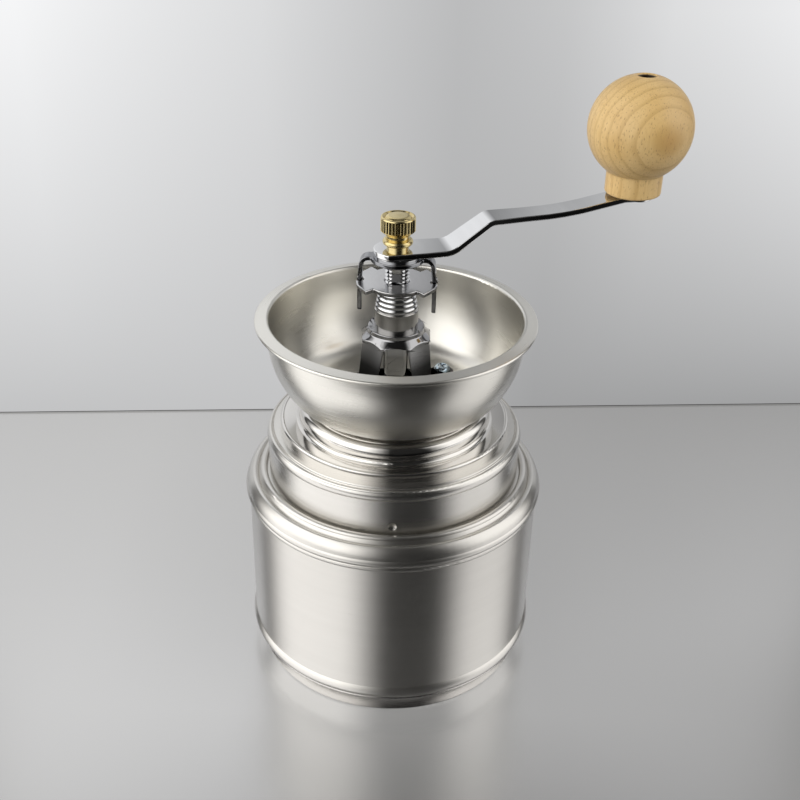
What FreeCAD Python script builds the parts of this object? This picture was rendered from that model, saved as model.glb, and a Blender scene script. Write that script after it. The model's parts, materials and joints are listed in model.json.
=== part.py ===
"""Manual coffee grinder, built piece by piece as a parametric document.

A steel cup stands on the table and catches the ground coffee. The mill head sits in its mouth: a drawn
shell, a stepped collar, a bean bowl and, on the bowl's floor, a four-legged bell that carries the spindle.
A conical burr hangs on the spindle inside the collar. A notched wheel on the spindle's thread sets the gap
between the burrs, and a bracket with two tongues locks it. The crank sits on the spindle's flats under a
brass cap nut, and a beech knob turns on a pin at the end of the arm.

Millimetres. Z is up. The origin is the middle of the cup's flat bottom, on the table. The crank's arm
points to the right and a little away from the front, which is the -Y side.
"""
import FreeCAD, Part
import math
import os

import Sketcher
from FreeCAD import Placement, Rotation, Vector

doc = FreeCAD.newDocument("CoffeeGrinder")

# The driving dimensions, one row each: alias, value, meaning.
SIZES = [
    ("sheetGauge", 0.8, "wall of the drawn steel pieces"),
    ("fitGap", 0.05, "radial clearance of a running fit"),
    ("threadGap", 0.02, "radial clearance of threads drawn plain, and of the pressed knob pin"),
    ("panRecessRadius", 33.0, "cup base: inside of the pressed ring in the bottom"),
    ("panRecessWidth", 5.0, "cup base: width of that ring"),
    ("panRecessDepth", 0.7, "cup base: height of that ring"),
    ("footRadius", 48.2, "cup base: flat bottom"),
    ("footTopRadius", 51.3, "cup base: top of the slanting foot band"),
    ("seamHeight", 8.7, "height of the seam between base and cup"),
    ("panWallTop", 16.0, "cup base: top of the wall pressed into the cup"),
    ("cupRadius", 51.7, "cup: straight wall"),
    ("cupBeadRadius", 52.6, "cup: lower bead"),
    ("cupBeadTop", 13.2, "cup: top of the lower bead"),
    ("cupWallTop", 64.2, "cup: top of the straight wall"),
    ("shoulderRadius", 52.85, "cup: widest point, on the shoulder"),
    ("shoulderHeight", 67.0, "cup: height of the widest point"),
    ("lipTop", 74.9, "cup: crest of the rolled lip"),
    ("lipBore", 45.2, "cup: inner edge of the rolled lip"),
    ("seatHeight", 72.9, "height of the seat of the mill head in the cup"),
    ("cupNeckBore", 43.9, "cup: bore of the inner neck"),
    ("cupNeckBottom", 62.0, "cup: lower edge of the inner neck"),
    ("skirtRadius", 43.55, "shell: skirt inside the cup's neck"),
    ("skirtBottom", 63.0, "shell: lower edge of the skirt"),
    ("shellRadius", 44.3, "shell: visible wall"),
    ("shellBeadRadius", 44.62, "shell: rolled upper edge"),
    ("shellBeadHeight", 88.3, "shell: height of the rolled upper edge"),
    ("shellTop", 91.0, "shell: flat top"),
    ("shellOpening", 36.5, "shell: hole in the flat top"),
    ("dimpleRadius", 1.5, "shell: radius of a pressed dimple"),
    ("dimpleDepth", 0.35, "shell: depth of a pressed dimple"),
    ("dimpleHeight", 77.0, "shell: height of the dimples"),
    ("stepRadius", 39.7, "collar: wall of its step"),
    ("stepTop", 94.2, "collar: top edge of its step"),
    ("rollRadius", 33.2, "collar: widest point of the rolled bead"),
    ("rollHeight", 97.3, "collar: height of that point"),
    ("rollTop", 99.85, "collar: crest of the rolled bead"),
    ("neckRadius", 28.6, "collar: neck under the bowl"),
    ("neckTop", 101.7, "collar: top, and underside of the bowl"),
    ("throatRadius", 11.5, "bowl: hole in the floor"),
    ("collarThroat", 13.0, "collar: hole over the mouth of the outer burr"),
    ("bowlGauge", 0.9, "bowl: wall"),
    ("bowlFloorRadius", 27.5, "bowl: flat floor"),
    ("bowlFloorCurve", 11.3, "bowl: outer radius of the curve at the floor"),
    ("bowlWallCurve", 34.1, "bowl: outer radius of the curve of the wall"),
    ("bowlCurveTurn", 37.9, "bowl: degrees of the wall's curve"),
    ("bowlCurveTop", 127.0, "bowl: height where the curve ends"),
    ("bowlRadius", 43.6, "bowl: outside under the rim"),
    ("rimRadius", 47.5, "bowl: outer edge of the rim"),
    ("rimHeight", 132.4, "bowl: top of the rim"),
    ("bellGauge", 1.4, "bell: wall and flange"),
    ("bellFootRadius", 14.6, "bell: outside at the foot, over its corners"),
    ("bellShoulderRadius", 12.2, "bell: outside at the shoulder"),
    ("bellShoulderHeight", 124.6, "bell: height of the shoulder"),
    ("bellTopRadius", 9.6, "bell: collar ring at the top"),
    ("bellTop", 128.5, "bell: top face"),
    ("bellFlangeRadius", 15.6, "bell: flange ring"),
    ("bellFlatTurn", 21.0, "bell: degrees from the middle of a leg to its edge"),
    ("windowFoot", 6.0, "bell: half width of a window at its foot"),
    ("windowHead", 3.8, "bell: half width of a window at its head"),
    ("lugWidth", 8.4, "bell: width of a screw lug"),
    ("screwCircle", 21.5, "radius at which the two screws stand"),
    ("screwTurn", 39.0, "azimuth of the first screw"),
    ("screwRadius", 1.5, "screw: shank"),
    ("screwPlay", 0.15, "radial clearance of a screw in its holes"),
    ("screwHeadRadius", 2.95, "screw: head"),
    ("screwHeadHeight", 2.2, "screw: head"),
    ("washerGauge", 0.6, "lock washer under a nut"),
    ("lockWasherRadius", 2.7, "lock washer: outside"),
    ("nutHeight", 2.4, "hexagon nut of a screw"),
    ("nutFlats", 5.5, "hexagon nut: width over its flats"),
    ("bushRadius", 7.4, "bushing: outside"),
    ("bushTop", 135.0, "bushing: top face, on which the wheel turns"),
    ("bushShank", 5.1, "bushing: shank through the bell"),
    ("bushBottom", 122.0, "bushing: lower end of the shank"),
    ("shaftRadius", 4.1, "spindle: main diameter and thread"),
    ("shaftFlat", 3.1, "spindle: half width over its flats"),
    ("stemRadius", 3.2, "spindle: stem under bracket and crank"),
    ("stemFlat", 2.6, "spindle: half width over the stem's flats"),
    ("stemBottom", 152.1, "spindle: shoulder under the bracket"),
    ("tipRadius", 3.0, "spindle: threaded tip in the cap nut"),
    ("tipBottom", 155.8, "spindle: lower end of that thread"),
    ("shaftTop", 165.2, "spindle: upper end"),
    ("collarRadius", 5.5, "spindle: collar over the burr"),
    ("collarBottom", 99.0, "spindle: lower face of that collar"),
    ("collarHeight", 1.5, "spindle: height of that collar"),
    ("burrSeatFlat", 3.1, "spindle: half width over the flats in the burr"),
    ("tailRadius", 3.0, "spindle: thread under the burr"),
    ("burrBottom", 88.0, "inner burr: lower face"),
    ("journalTop", 83.6, "spindle: top of the lower journal"),
    ("journalRadius", 2.5, "spindle: lower journal"),
    ("shaftBottom", 78.2, "spindle: lower end"),
    ("burrRadius", 13.1, "inner burr: largest radius"),
    ("burrTopRadius", 6.6, "inner burr: top"),
    ("burrFlutes", 8.0, "inner burr: number of flutes"),
    ("fluteRadius", 1.9, "inner burr: radius of the cutter of a flute"),
    ("fluteSlope", 31.0, "inner burr: degrees by which a flute leans inward"),
    ("fluteLean", 22.0, "inner burr: degrees by which a flute leans sideways"),
    ("burrWasherGauge", 0.8, "washer under the burr"),
    ("burrWasherRadius", 6.0, "washer under the burr: outside"),
    ("burrNutFlats", 10.0, "nut under the burr: width over its flats"),
    ("burrNutHeight", 3.2, "nut under the burr"),
    ("ringFlangeRadius", 24.6, "outer burr: flange"),
    ("ringFlangeHeight", 3.0, "outer burr: flange"),
    ("ringBodyRadius", 15.2, "outer burr: body, outside"),
    ("ringBottom", 87.6, "outer burr: lower face"),
    ("ringThroat", 13.0, "outer burr: mouth"),
    ("ringWaist", 11.6, "outer burr: narrowest place"),
    ("ringWaistHeight", 95.0, "outer burr: height of that place"),
    ("ringGrooves", 16.0, "outer burr: number of grooves"),
    ("ringGrooveDepth", 1.2, "outer burr: reach of a groove past the waist"),
    ("ringGrooveWidth", 1.2, "outer burr: width of a groove"),
    ("ringGrooveLean", 18.0, "outer burr: degrees by which a groove leans"),
    ("ringOutlet", 13.85, "outer burr: bore at its lower face"),
    ("bridgeGauge", 1.6, "bridge: strap"),
    ("bridgeWidth", 9.0, "bridge: strap"),
    ("bridgeLeg", 17.2, "bridge: outside of its legs"),
    ("bridgeReach", 25.4, "bridge: ends of its feet"),
    ("bridgeBottom", 79.4, "bridge: underside of the cross bar"),
    ("hubTopRadius", 6.0, "wheel hub: upper end of the cone"),
    ("hubRadius", 7.2, "wheel hub: lower end of the cone"),
    ("hubSteps", 4.0, "wheel hub: turned rings"),
    ("plateBottom", 143.3, "wheel plate: underside"),
    ("plateGauge", 1.5, "wheel plate"),
    ("plateRecess", 10.9, "wheel plate: radius of the front and back edge"),
    ("plateWing", 13.5, "wheel plate: half width over the wings"),
    ("plateCornerAcross", 9.4, "wheel plate: corner of a wing, across"),
    ("plateCornerAlong", 10.3, "wheel plate: corner of a wing, along"),
    ("plateRootAcross", 7.2, "wheel plate: root of a wing, across"),
    ("plateRootAlong", 7.9, "wheel plate: root of a wing, along"),
    ("plateSlotInner", 10.9, "wheel plate: inner end of a tongue's slot"),
    ("plateSlotHalf", 1.7, "wheel plate: half width of a tongue's slot"),
    ("bracketTurn", -4.0, "azimuth of the bracket and of the flats"),
    ("bracketGauge", 1.4, "bracket: sheet"),
    ("bracketDisc", 8.9, "bracket: disc"),
    ("bracketHalf", 12.3, "bracket: half length at the upper bends"),
    ("bracketStock", 12.0, "bracket: width of the strip it is cut from"),
    ("bracketBend", 3.2, "bracket: outer radius of the upper bends"),
    ("tongueReach", 13.1, "bracket: outside of the tongues at their ends"),
    ("tongueBend", 144.0, "bracket: height where the tongues turn upright"),
    ("tongueBottom", 133.6, "bracket: ends of the tongues"),
    ("tongueWidth", 2.5, "bracket: a tongue"),
    ("bracketArmWidth", 4.6, "bracket: a tongue's root"),
    ("washerRadius", 7.6, "crank washer"),
    ("crankWasherGauge", 0.7, "crank washer"),
    ("armGauge", 2.0, "crank arm: bar"),
    ("armHubWidth", 13.0, "crank arm: width at the spindle"),
    ("armWidth", 8.8, "crank arm: width towards the knob"),
    ("armTail", 8.0, "crank arm: end behind the spindle"),
    ("armTurn", 13.6, "azimuth of the crank arm"),
    ("armBendStart", 17.0, "crank arm: where it turns up"),
    ("armBendEnd", 30.0, "crank arm: where it levels out"),
    ("armShoulder", 165.3, "crank arm: top face at that place"),
    ("armMiddle", 56.0, "crank arm: start of the slow rise"),
    ("armMiddleHeight", 166.1, "crank arm: top face there"),
    ("armEndStart", 76.0, "crank arm: start of the level end"),
    ("armEndHeight", 170.0, "crank arm: top face under the knob"),
    ("throw", 80.0, "crank arm: from spindle to knob"),
    ("armTip", 86.9, "crank arm: rounded tip"),
    ("armTipRadius", 5.0, "crank arm: radius of its round end"),
    ("armStock", 20.0, "crank arm: width of the strip it is cut from"),
    ("capNeck", 3.65, "cap nut: neck"),
    ("capBead", 5.0, "cap nut: bead"),
    ("capWaist", 4.1, "cap nut: waist"),
    ("capHead", 5.7, "cap nut: knurled head"),
    ("capHeadBottom", 161.9, "cap nut: underside of the head"),
    ("capHeadTop", 167.1, "cap nut: rim of the head"),
    ("capBore", 165.8, "cap nut: end of the thread"),
    ("knurlRidges", 34.0, "cap nut: ridges round the head"),
    ("knurlDepth", 0.4, "cap nut: depth of the groove between two ridges"),
    ("knobCollar", 9.3, "knob: turned collar"),
    ("knobCollarTop", 177.0, "knob: top of the collar"),
    ("knobRadius", 17.1, "knob: ball"),
    ("knobMiddle", 191.8, "knob: height of the ball's middle"),
    ("knobHole", 2.7, "knob: hole over the pin's head"),
    ("knobHoleBottom", 185.9, "knob: floor of that hole"),
    ("pinRadius", 2.0, "knob pin: shank"),
    ("pinHead", 2.6, "knob pin: head"),
    ("pinHeadHeight", 3.0, "knob pin: head"),
    ("rivetRadius", 3.2, "knob pin: riveted end"),
    ("rivetHeight", 0.7, "knob pin: riveted end"),
]

sheet = doc.addObject("Spreadsheet::Sheet", "Sizes")
sheet.set("A1", "Dimension")
sheet.set("B1", "Value")
sheet.set("C1", "Meaning")
for row, (alias, value, meaning) in enumerate(SIZES, start=2):
    sheet.set(f"A{row}", alias)
    sheet.set(f"B{row}", str(value))
    sheet.set(f"C{row}", meaning)
    sheet.setAlias(f"B{row}", alias)
doc.recompute()


class Size:
    """A size taken from the sheet: its number, and the text that binds it to its cells."""

    def __init__(self, value, text):
        self.value = value
        self.text = text

    def __add__(self, other):
        other = as_size(other)
        return Size(self.value + other.value, f"({self.text} + {other.text})")

    def __sub__(self, other):
        other = as_size(other)
        return Size(self.value - other.value, f"({self.text} - {other.text})")

    def __mul__(self, factor):
        factor = as_size(factor)
        return Size(self.value * factor.value, f"({self.text} * {factor.text})")

    def __neg__(self):
        return Size(-self.value, f"(-1 * {self.text})")

    def __float__(self):
        return self.value


def as_size(number):
    """A plain number becomes a size with its own text."""
    if isinstance(number, Size):
        return number
    return Size(float(number), f"{float(number):.6f}")


def cell(alias):
    """The size that a cell of the sheet holds."""
    return Size(float(sheet.get(alias)), f"Sizes.{alias}")


class Cells:
    """cells.cupRadius is the size in the cell of that alias."""

    def __getattr__(self, alias):
        return cell(alias)


cells = Cells()


def polar(centre, radius, degrees):
    """A point on the circle round centre, as two sizes."""
    angle = math.radians(degrees)
    across = as_size(centre[0]) + as_size(radius) * math.cos(angle)
    up = as_size(centre[1]) + as_size(radius) * math.sin(angle)
    return across, up


def plane_of(body, role):
    """The origin plane or axis of a body that has this role."""
    for feature in body.Origin.OriginFeatures:
        if feature.Role == role:
            return feature
    raise ValueError(role)


def new_body(name):
    """A body whose label names its file."""
    body = doc.addObject("PartDesign::Body", name)
    body.Label = name
    return body


def fix(sketch, geometry, end, kind, size):
    """Hold one end of a line or arc at its distance from the sketch's origin."""
    size = as_size(size)
    if abs(size.value) < 1e-9:
        axis = -2 if kind == "DistanceX" else -1
        sketch.addConstraint(Sketcher.Constraint("PointOnObject", geometry, end, axis))
        return
    index = sketch.addConstraint(Sketcher.Constraint(kind, -1, 1, geometry, end, size.value))
    sketch.setExpression(f"Constraints[{index}]", size.text)


def add_arc(sketch, start, middle, finish):
    """Add the arc from start through middle to finish; return it and which of its ends comes first."""
    centre = Part.Arc(start, middle, finish).toShape().Curve.Center
    radius = centre.distanceToPoint(start)
    leftward = (middle - start).cross(finish - middle).z > 0
    low, high = (start, finish) if leftward else (finish, start)
    angles = [math.atan2(spot.y - centre.y, spot.x - centre.x) for spot in (low, high)]
    if angles[1] < angles[0]:
        angles[1] += 2 * math.pi
    circle = Part.Circle(centre, Vector(0, 0, 1), radius)
    arc = sketch.addGeometry(Part.ArcOfCircle(circle, *angles), False)
    return (arc, 1, 2) if leftward else (arc, 2, 1)


def draw(sketch, corners):
    """Draw a closed outline. A corner (x, y, (a, b)) is reached by an arc through a, b."""
    count = len(corners)
    edges = []
    for here, there in zip(corners, corners[1:] + corners[:1]):
        start = Vector(float(here[0]), float(here[1]), 0)
        finish = Vector(float(there[0]), float(there[1]), 0)
        if len(there) == 3:
            middle = Vector(float(there[2][0]), float(there[2][1]), 0)
            edges.append(add_arc(sketch, start, middle, finish))
        else:
            edge = sketch.addGeometry(Part.LineSegment(start, finish), False)
            edges.append((edge, 1, 2))
    for place, (edge, first, last) in enumerate(edges):
        following, following_first, following_last = edges[(place + 1) % count]
        joint = Sketcher.Constraint("Coincident", edge, last, following, following_first)
        sketch.addConstraint(joint)
        fix(sketch, edge, first, "DistanceX", corners[place][0])
        fix(sketch, edge, first, "DistanceY", corners[place][1])
    for place, (edge, first, last) in enumerate(edges):
        corner = corners[(place + 1) % count]
        if len(corner) == 3:
            x, y = corner[2]
            point = sketch.addGeometry(Part.Point(Vector(float(x), float(y), 0)), True)
            fix(sketch, point, 1, "DistanceX", x)
            fix(sketch, point, 1, "DistanceY", y)
            sketch.addConstraint(Sketcher.Constraint("PointOnObject", point, 1, edge))


def section(body, name, corners, role="XZ_Plane"):
    """A sketch on one of the body's own planes, drawn as a closed outline."""
    sketch = body.newObject("Sketcher::SketchObject", name)
    sketch.AttachmentSupport = [(plane_of(body, role), "")]
    sketch.MapMode = "FlatFace"
    draw(sketch, corners)
    return sketch


def turned(name, corners):
    """A body made by turning its half section round the upright axis."""
    body = new_body(name)
    sketch = section(body, f"{name}_section", corners)
    turn = body.newObject("PartDesign::Revolution", f"{name}_turn")
    turn.Profile = sketch
    turn.ReferenceAxis = (sketch, ["V_Axis"])
    turn.Angle = 360
    doc.recompute()
    return body


def bind(thing, **sizes):
    """Bind properties of an object to the sheet."""
    for name, size in sizes.items():
        thing.setExpression(name, as_size(size).text)


def raise_to(thing, height):
    """Lift an object to a height, bound to the sheet."""
    thing.setExpression("Placement.Base.z", as_size(height).text)


def cylinder(name, radius, height, bottom):
    """An upright cylinder."""
    round_bar = doc.addObject("Part::Cylinder", name)
    bind(round_bar, Radius=radius, Height=height)
    raise_to(round_bar, bottom)
    return round_bar


def cut(name, base, *tools):
    """The base less the tools."""
    tool = tools[0]
    if len(tools) > 1:
        tool = doc.addObject("Part::MultiFuse", f"{name}_tools")
        tool.Shapes = list(tools)
    result = doc.addObject("Part::Cut", name)
    result.Base = base
    result.Tool = tool
    result.Label = name
    doc.recompute()
    return result


def ring(name, outer, bore, height, bottom):
    """A flat ring, as a washer is."""
    blank = cylinder(f"{name}_blank", outer, height, bottom)
    hole = cylinder(f"{name}_hole", bore, height + 2, as_size(bottom) - 1)
    return cut(name, blank, hole)


def flatted_bar(name, radius, flat, height, bottom):
    """A round bar with two flats, which face front and back: the shape of a keyed hole."""
    bar = cylinder(f"{name}_bar", radius, height, bottom)
    block = doc.addObject("Part::Box", f"{name}_block")
    bind(block, Length=as_size(radius) * 4, Width=as_size(flat) * 2, Height=height)
    block.setExpression("Placement.Base.x", (as_size(radius) * -2).text)
    block.setExpression("Placement.Base.y", (-as_size(flat)).text)
    raise_to(block, bottom)
    keyed = doc.addObject("Part::Common", name)
    keyed.Base = bar
    keyed.Tool = block
    return keyed


def swing(thing, degrees):
    """Turn a finished piece about the upright axis."""
    thing.Placement = Placement(Vector(0, 0, 0), Rotation(Vector(0, 0, 1), degrees))
    return thing


def drill(body, name, radius, circle, degrees):
    """Holes through a body, at one radius from the axis."""
    sketch = body.newObject("Sketcher::SketchObject", f"{name}_plan")
    sketch.AttachmentSupport = [(plane_of(body, "XY_Plane"), "")]
    sketch.MapMode = "FlatFace"
    for azimuth in degrees:
        x, y = polar((0, 0), circle, azimuth)
        hole = Part.Circle(Vector(x.value, y.value, 0), Vector(0, 0, 1), as_size(radius).value)
        index = sketch.addGeometry(hole, False)
        fix(sketch, index, 3, "DistanceX", x)
        fix(sketch, index, 3, "DistanceY", y)
        size = sketch.addConstraint(Sketcher.Constraint("Radius", index, as_size(radius).value))
        sketch.setExpression(f"Constraints[{size}]", as_size(radius).text)
    before = body.Shape.Volume
    pocket = body.newObject("PartDesign::Pocket", name)
    pocket.Profile = sketch
    pocket.Type = "ThroughAll"
    pocket.Midplane = True
    doc.recompute()
    assert body.Shape.Volume < before - 0.1, f"{name} cut nothing"


def through_cut(body, name, corners, role):
    """An opening cut right through a body, square to one of its upright planes."""
    sketch = section(body, f"{name}_outline", corners, role)
    before = body.Shape.Volume
    pocket = body.newObject("PartDesign::Pocket", name)
    pocket.Profile = sketch
    pocket.Type = "ThroughAll"
    pocket.Midplane = True
    doc.recompute()
    assert body.Shape.Volume < before - 0.1, f"{name} cut nothing"


def plate(body, name, corners, bottom, gauge, azimuth=0.0):
    """A flat plate added to a body, its outline drawn in plan."""
    sketch = body.newObject("Sketcher::SketchObject", f"{name}_plan")
    sketch.AttachmentSupport = [(plane_of(body, "XY_Plane"), "")]
    sketch.MapMode = "FlatFace"
    sketch.AttachmentOffset = Placement(Vector(0, 0, 0), Rotation(Vector(0, 0, 1), azimuth))
    sketch.setExpression("AttachmentOffset.Base.z", as_size(bottom).text)
    draw(sketch, corners)
    pad = body.newObject("PartDesign::Pad", name)
    pad.Profile = sketch
    bind(pad, Length=gauge)
    doc.recompute()


def bend_line(name, corners):
    """A sketch, upright and open, of straight runs joined by bends. A corner is (x, z, bend radius)."""
    sketch = doc.addObject("Sketcher::SketchObject", name)
    sketch.Placement = Placement(Vector(0, 0, 0), Rotation(Vector(1, 0, 0), 90))
    spots = [Vector(float(corner[0]), float(corner[1]), 0) for corner in corners]
    starts = [spots[0]]
    arcs = []
    for before, spot, after, corner in zip(spots, spots[1:], spots[2:], corners[1:]):
        radius = float(corner[2])
        inward = (before - spot).normalize()
        onward = (after - spot).normalize()
        half = inward.getAngle(onward) / 2
        reach = radius / math.tan(half)
        middle = spot + (inward + onward).normalize() * (radius / math.sin(half))
        first = spot + inward * reach
        last = spot + onward * reach
        deep = middle + (spot - middle).normalize() * radius
        arcs.append((first, deep, last))
        starts.append(last)
    ends = [arc[0] for arc in arcs] + [spots[-1]]
    lines = [sketch.addGeometry(Part.LineSegment(a, b), False) for a, b in zip(starts, ends)]
    for place, (first, deep, last) in enumerate(arcs):
        arc, near, far = add_arc(sketch, first, deep, last)
        sketch.addConstraint(Sketcher.Constraint("Tangent", lines[place], 2, arc, near))
        sketch.addConstraint(Sketcher.Constraint("Tangent", arc, far, lines[place + 1], 1))
        radius = as_size(corners[place + 1][2])
        index = sketch.addConstraint(Sketcher.Constraint("Radius", arc, radius.value))
        sketch.setExpression(f"Constraints[{index}]", radius.text)
        spot = sketch.addGeometry(Part.Point(spots[place + 1]), True)
        fix(sketch, spot, 1, "DistanceX", corners[place + 1][0])
        fix(sketch, spot, 1, "DistanceY", corners[place + 1][1])
        sketch.addConstraint(Sketcher.Constraint("PointOnObject", spot, 1, lines[place]))
        sketch.addConstraint(Sketcher.Constraint("PointOnObject", spot, 1, lines[place + 1]))
    fix(sketch, lines[0], 1, "DistanceX", corners[0][0])
    fix(sketch, lines[0], 1, "DistanceY", corners[0][1])
    fix(sketch, lines[-1], 2, "DistanceX", corners[-1][0])
    fix(sketch, lines[-1], 2, "DistanceY", corners[-1][1])
    return sketch


def strip(name, corners, gauge, width):
    """Strip steel bent along a line: the line is one face, the gauge is added on its left or right."""
    line = bend_line(f"{name}_line", corners)
    skin = doc.addObject("Part::Offset2D", f"{name}_edge")
    skin.Source = line
    skin.Mode = "Skin"
    skin.Join = "Intersection"
    skin.Fill = True
    bind(skin, Value=gauge)
    bar = doc.addObject("Part::Extrusion", f"{name}_bar")
    bar.Base = skin
    bar.DirMode = "Custom"
    bar.Dir = Vector(0, 1, 0)
    bar.Symmetric = True
    bar.Solid = True
    bind(bar, LengthFwd=width)
    doc.recompute()
    return bar


def slab(name, corners, role, start, length):
    """A prism on a plan or side outline, used to trim a strip."""
    sketch = doc.addObject("Sketcher::SketchObject", f"{name}_outline")
    if role == "plan":
        sketch.Placement = Placement(Vector(0, 0, start), Rotation())
        direction = Vector(0, 0, 1)
    else:
        sketch.Placement = Placement(Vector(start, 0, 0), Rotation(Vector(1, 1, 1), 120))
        direction = Vector(1, 0, 0)
    draw(sketch, corners)
    prism = doc.addObject("Part::Extrusion", name)
    prism.Base = sketch
    prism.DirMode = "Custom"
    prism.Dir = direction
    prism.LengthFwd = length
    prism.Solid = True
    doc.recompute()
    return prism


def common(name, base, tool):
    """What two solids share."""
    shared = doc.addObject("Part::Common", name)
    shared.Base = base
    shared.Tool = tool
    doc.recompute()
    return shared


def fuse(name, *pieces):
    """Pieces that are one casting or one stamping."""
    whole = doc.addObject("Part::MultiFuse", name)
    whole.Shapes = list(pieces)
    whole.Refine = True
    doc.recompute()
    return whole


def group(name, pieces):
    """Identical small pieces that share one node."""
    together = doc.addObject("Part::Compound", name)
    together.Links = pieces
    together.Label = name
    doc.recompute()
    return together


def cup_base():
    """Shallow pan pressed into the cup: flat bottom with a pressed ring, slanting foot band, inner wall."""
    gauge = cells.sheetGauge
    inside = cells.panRecessRadius
    outside = inside + cells.panRecessWidth
    raised = cells.panRecessDepth
    wall = cells.cupRadius - gauge - cells.fitGap
    seam = cells.seamHeight
    return turned("cup_base", [
        (0, 0),
        (inside, 0),
        (inside + raised, raised),
        (outside - raised, raised),
        (outside, 0),
        (cells.footRadius, 0),
        (cells.footRadius + 0.7, 0.9, (cells.footRadius + 0.45, 0.35)),
        (cells.footTopRadius, seam - 1.1),
        (cells.footTopRadius, seam, (cells.footTopRadius + 0.15, seam - 0.5)),
        (wall, seam),
        (wall, cells.panWallTop),
        (wall - gauge, cells.panWallTop),
        (wall - gauge, seam - 0.4),
        (cells.footRadius - 0.1, 1.3),
        (cells.footRadius - 0.9, gauge, (cells.footRadius - 0.35, 0.95)),
        (outside - 0.2, gauge),
        (outside - 0.2 - raised, gauge + raised),
        (inside + 0.2 + raised, gauge + raised),
        (inside + 0.2, gauge),
        (0, gauge),
    ])


def receiver_cup():
    """Cup wall with its lower bead, its rounded shoulder, the rolled lip and the inner neck."""
    gauge = cells.sheetGauge
    wall = cells.cupRadius
    bore = wall - gauge
    seam = cells.seamHeight
    bead_top = cells.cupBeadTop
    bead_middle = (seam + bead_top) * 0.5
    wall_top = cells.cupWallTop
    widest = cells.shoulderRadius
    middle = cells.shoulderHeight
    seat = cells.seatHeight
    crest = cells.lipTop
    lip = cells.lipBore
    neck = cells.cupNeckBore
    return turned("receiver_cup", [
        (bore, seam),
        (wall, seam),
        (wall, bead_top, (cells.cupBeadRadius, bead_middle)),
        (wall, wall_top),
        (widest - 0.7, wall_top + 1.9, (widest - 0.45, wall_top + 1.1)),
        (widest - 0.35, middle + 1.9, (widest, middle)),
        (widest - 2.5, seat, (widest - 0.95, middle + 4.0)),
        (lip + 3.4, seat - 0.6, (lip + 4.2, seat + 0.15)),
        (lip + 2.5, seat + 0.8),
        (lip, seat + 0.7, (lip + 1.25, crest)),
        (lip, seat),
        (neck, seat),
        (neck, cells.cupNeckBottom),
        (neck + gauge, cells.cupNeckBottom),
        (neck + gauge, seat - gauge),
        (lip + gauge, seat - gauge),
        (lip + gauge, seat + 0.6),
        (lip + 1.4, seat + 0.7),
        (lip + 2.8, seat - 1.4),
        (lip + 3.5, seat - 1.5),
        (widest - 2.9, seat - 0.85),
        (widest - 1.75, middle + 3.6),
        (widest - 0.95, middle + 0.3),
        (widest - 1.45, wall_top + 2.2),
        (bore, wall_top + 0.3),
        (bore, bead_top + 0.2),
        (cells.cupBeadRadius - gauge - 0.1, bead_middle),
    ])


def upper_shell():
    """Drawn shell of the mill head: skirt, visible wall, rolled edge, ringed flat top, three dimples."""
    gauge = cells.sheetGauge
    wall = cells.shellRadius
    skirt = cells.skirtRadius
    seat = cells.seatHeight
    bead = cells.shellBeadHeight
    top = cells.shellTop
    shell = turned("upper_shell_blank", [
        (skirt - gauge, cells.skirtBottom),
        (skirt, cells.skirtBottom),
        (skirt, seat),
        (wall, seat),
        (wall, bead - 1.5),
        (wall - 0.1, bead + 1.4, (cells.shellBeadRadius, bead)),
        (wall - 1.0, top - 0.5, (wall - 0.45, top - 0.65)),
        (wall - 1.25, top - 0.8),
        (wall - 1.5, top - 0.45),
        (wall - 1.75, top - 0.65),
        (wall - 2.0, top),
        (cells.shellOpening, top),
        (cells.shellOpening, top - gauge),
        (wall - 2.4, top - gauge),
        (wall - 2.0, top - gauge - 0.6),
        (wall - 1.3, top - gauge - 0.9),
        (wall - gauge, bead + 0.2),
        (wall - gauge, seat + 1.0),
        (skirt - gauge, seat + 0.2),
    ])
    hollow = (cells.dimpleRadius.value ** 2 + cells.dimpleDepth.value ** 2) / (2 * cells.dimpleDepth.value)
    dimples = []
    for number, azimuth in enumerate((-90, 30, 150), start=1):
        ball = doc.addObject("Part::Sphere", f"dimple_{number}")
        ball.Radius = hollow
        x, y = polar((0, 0), wall - cells.dimpleDepth + hollow, azimuth)
        ball.setExpression("Placement.Base.x", x.text)
        ball.setExpression("Placement.Base.y", y.text)
        raise_to(ball, cells.dimpleHeight)
        dimples.append(ball)
    return cut("upper_shell", shell, *dimples)


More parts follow.
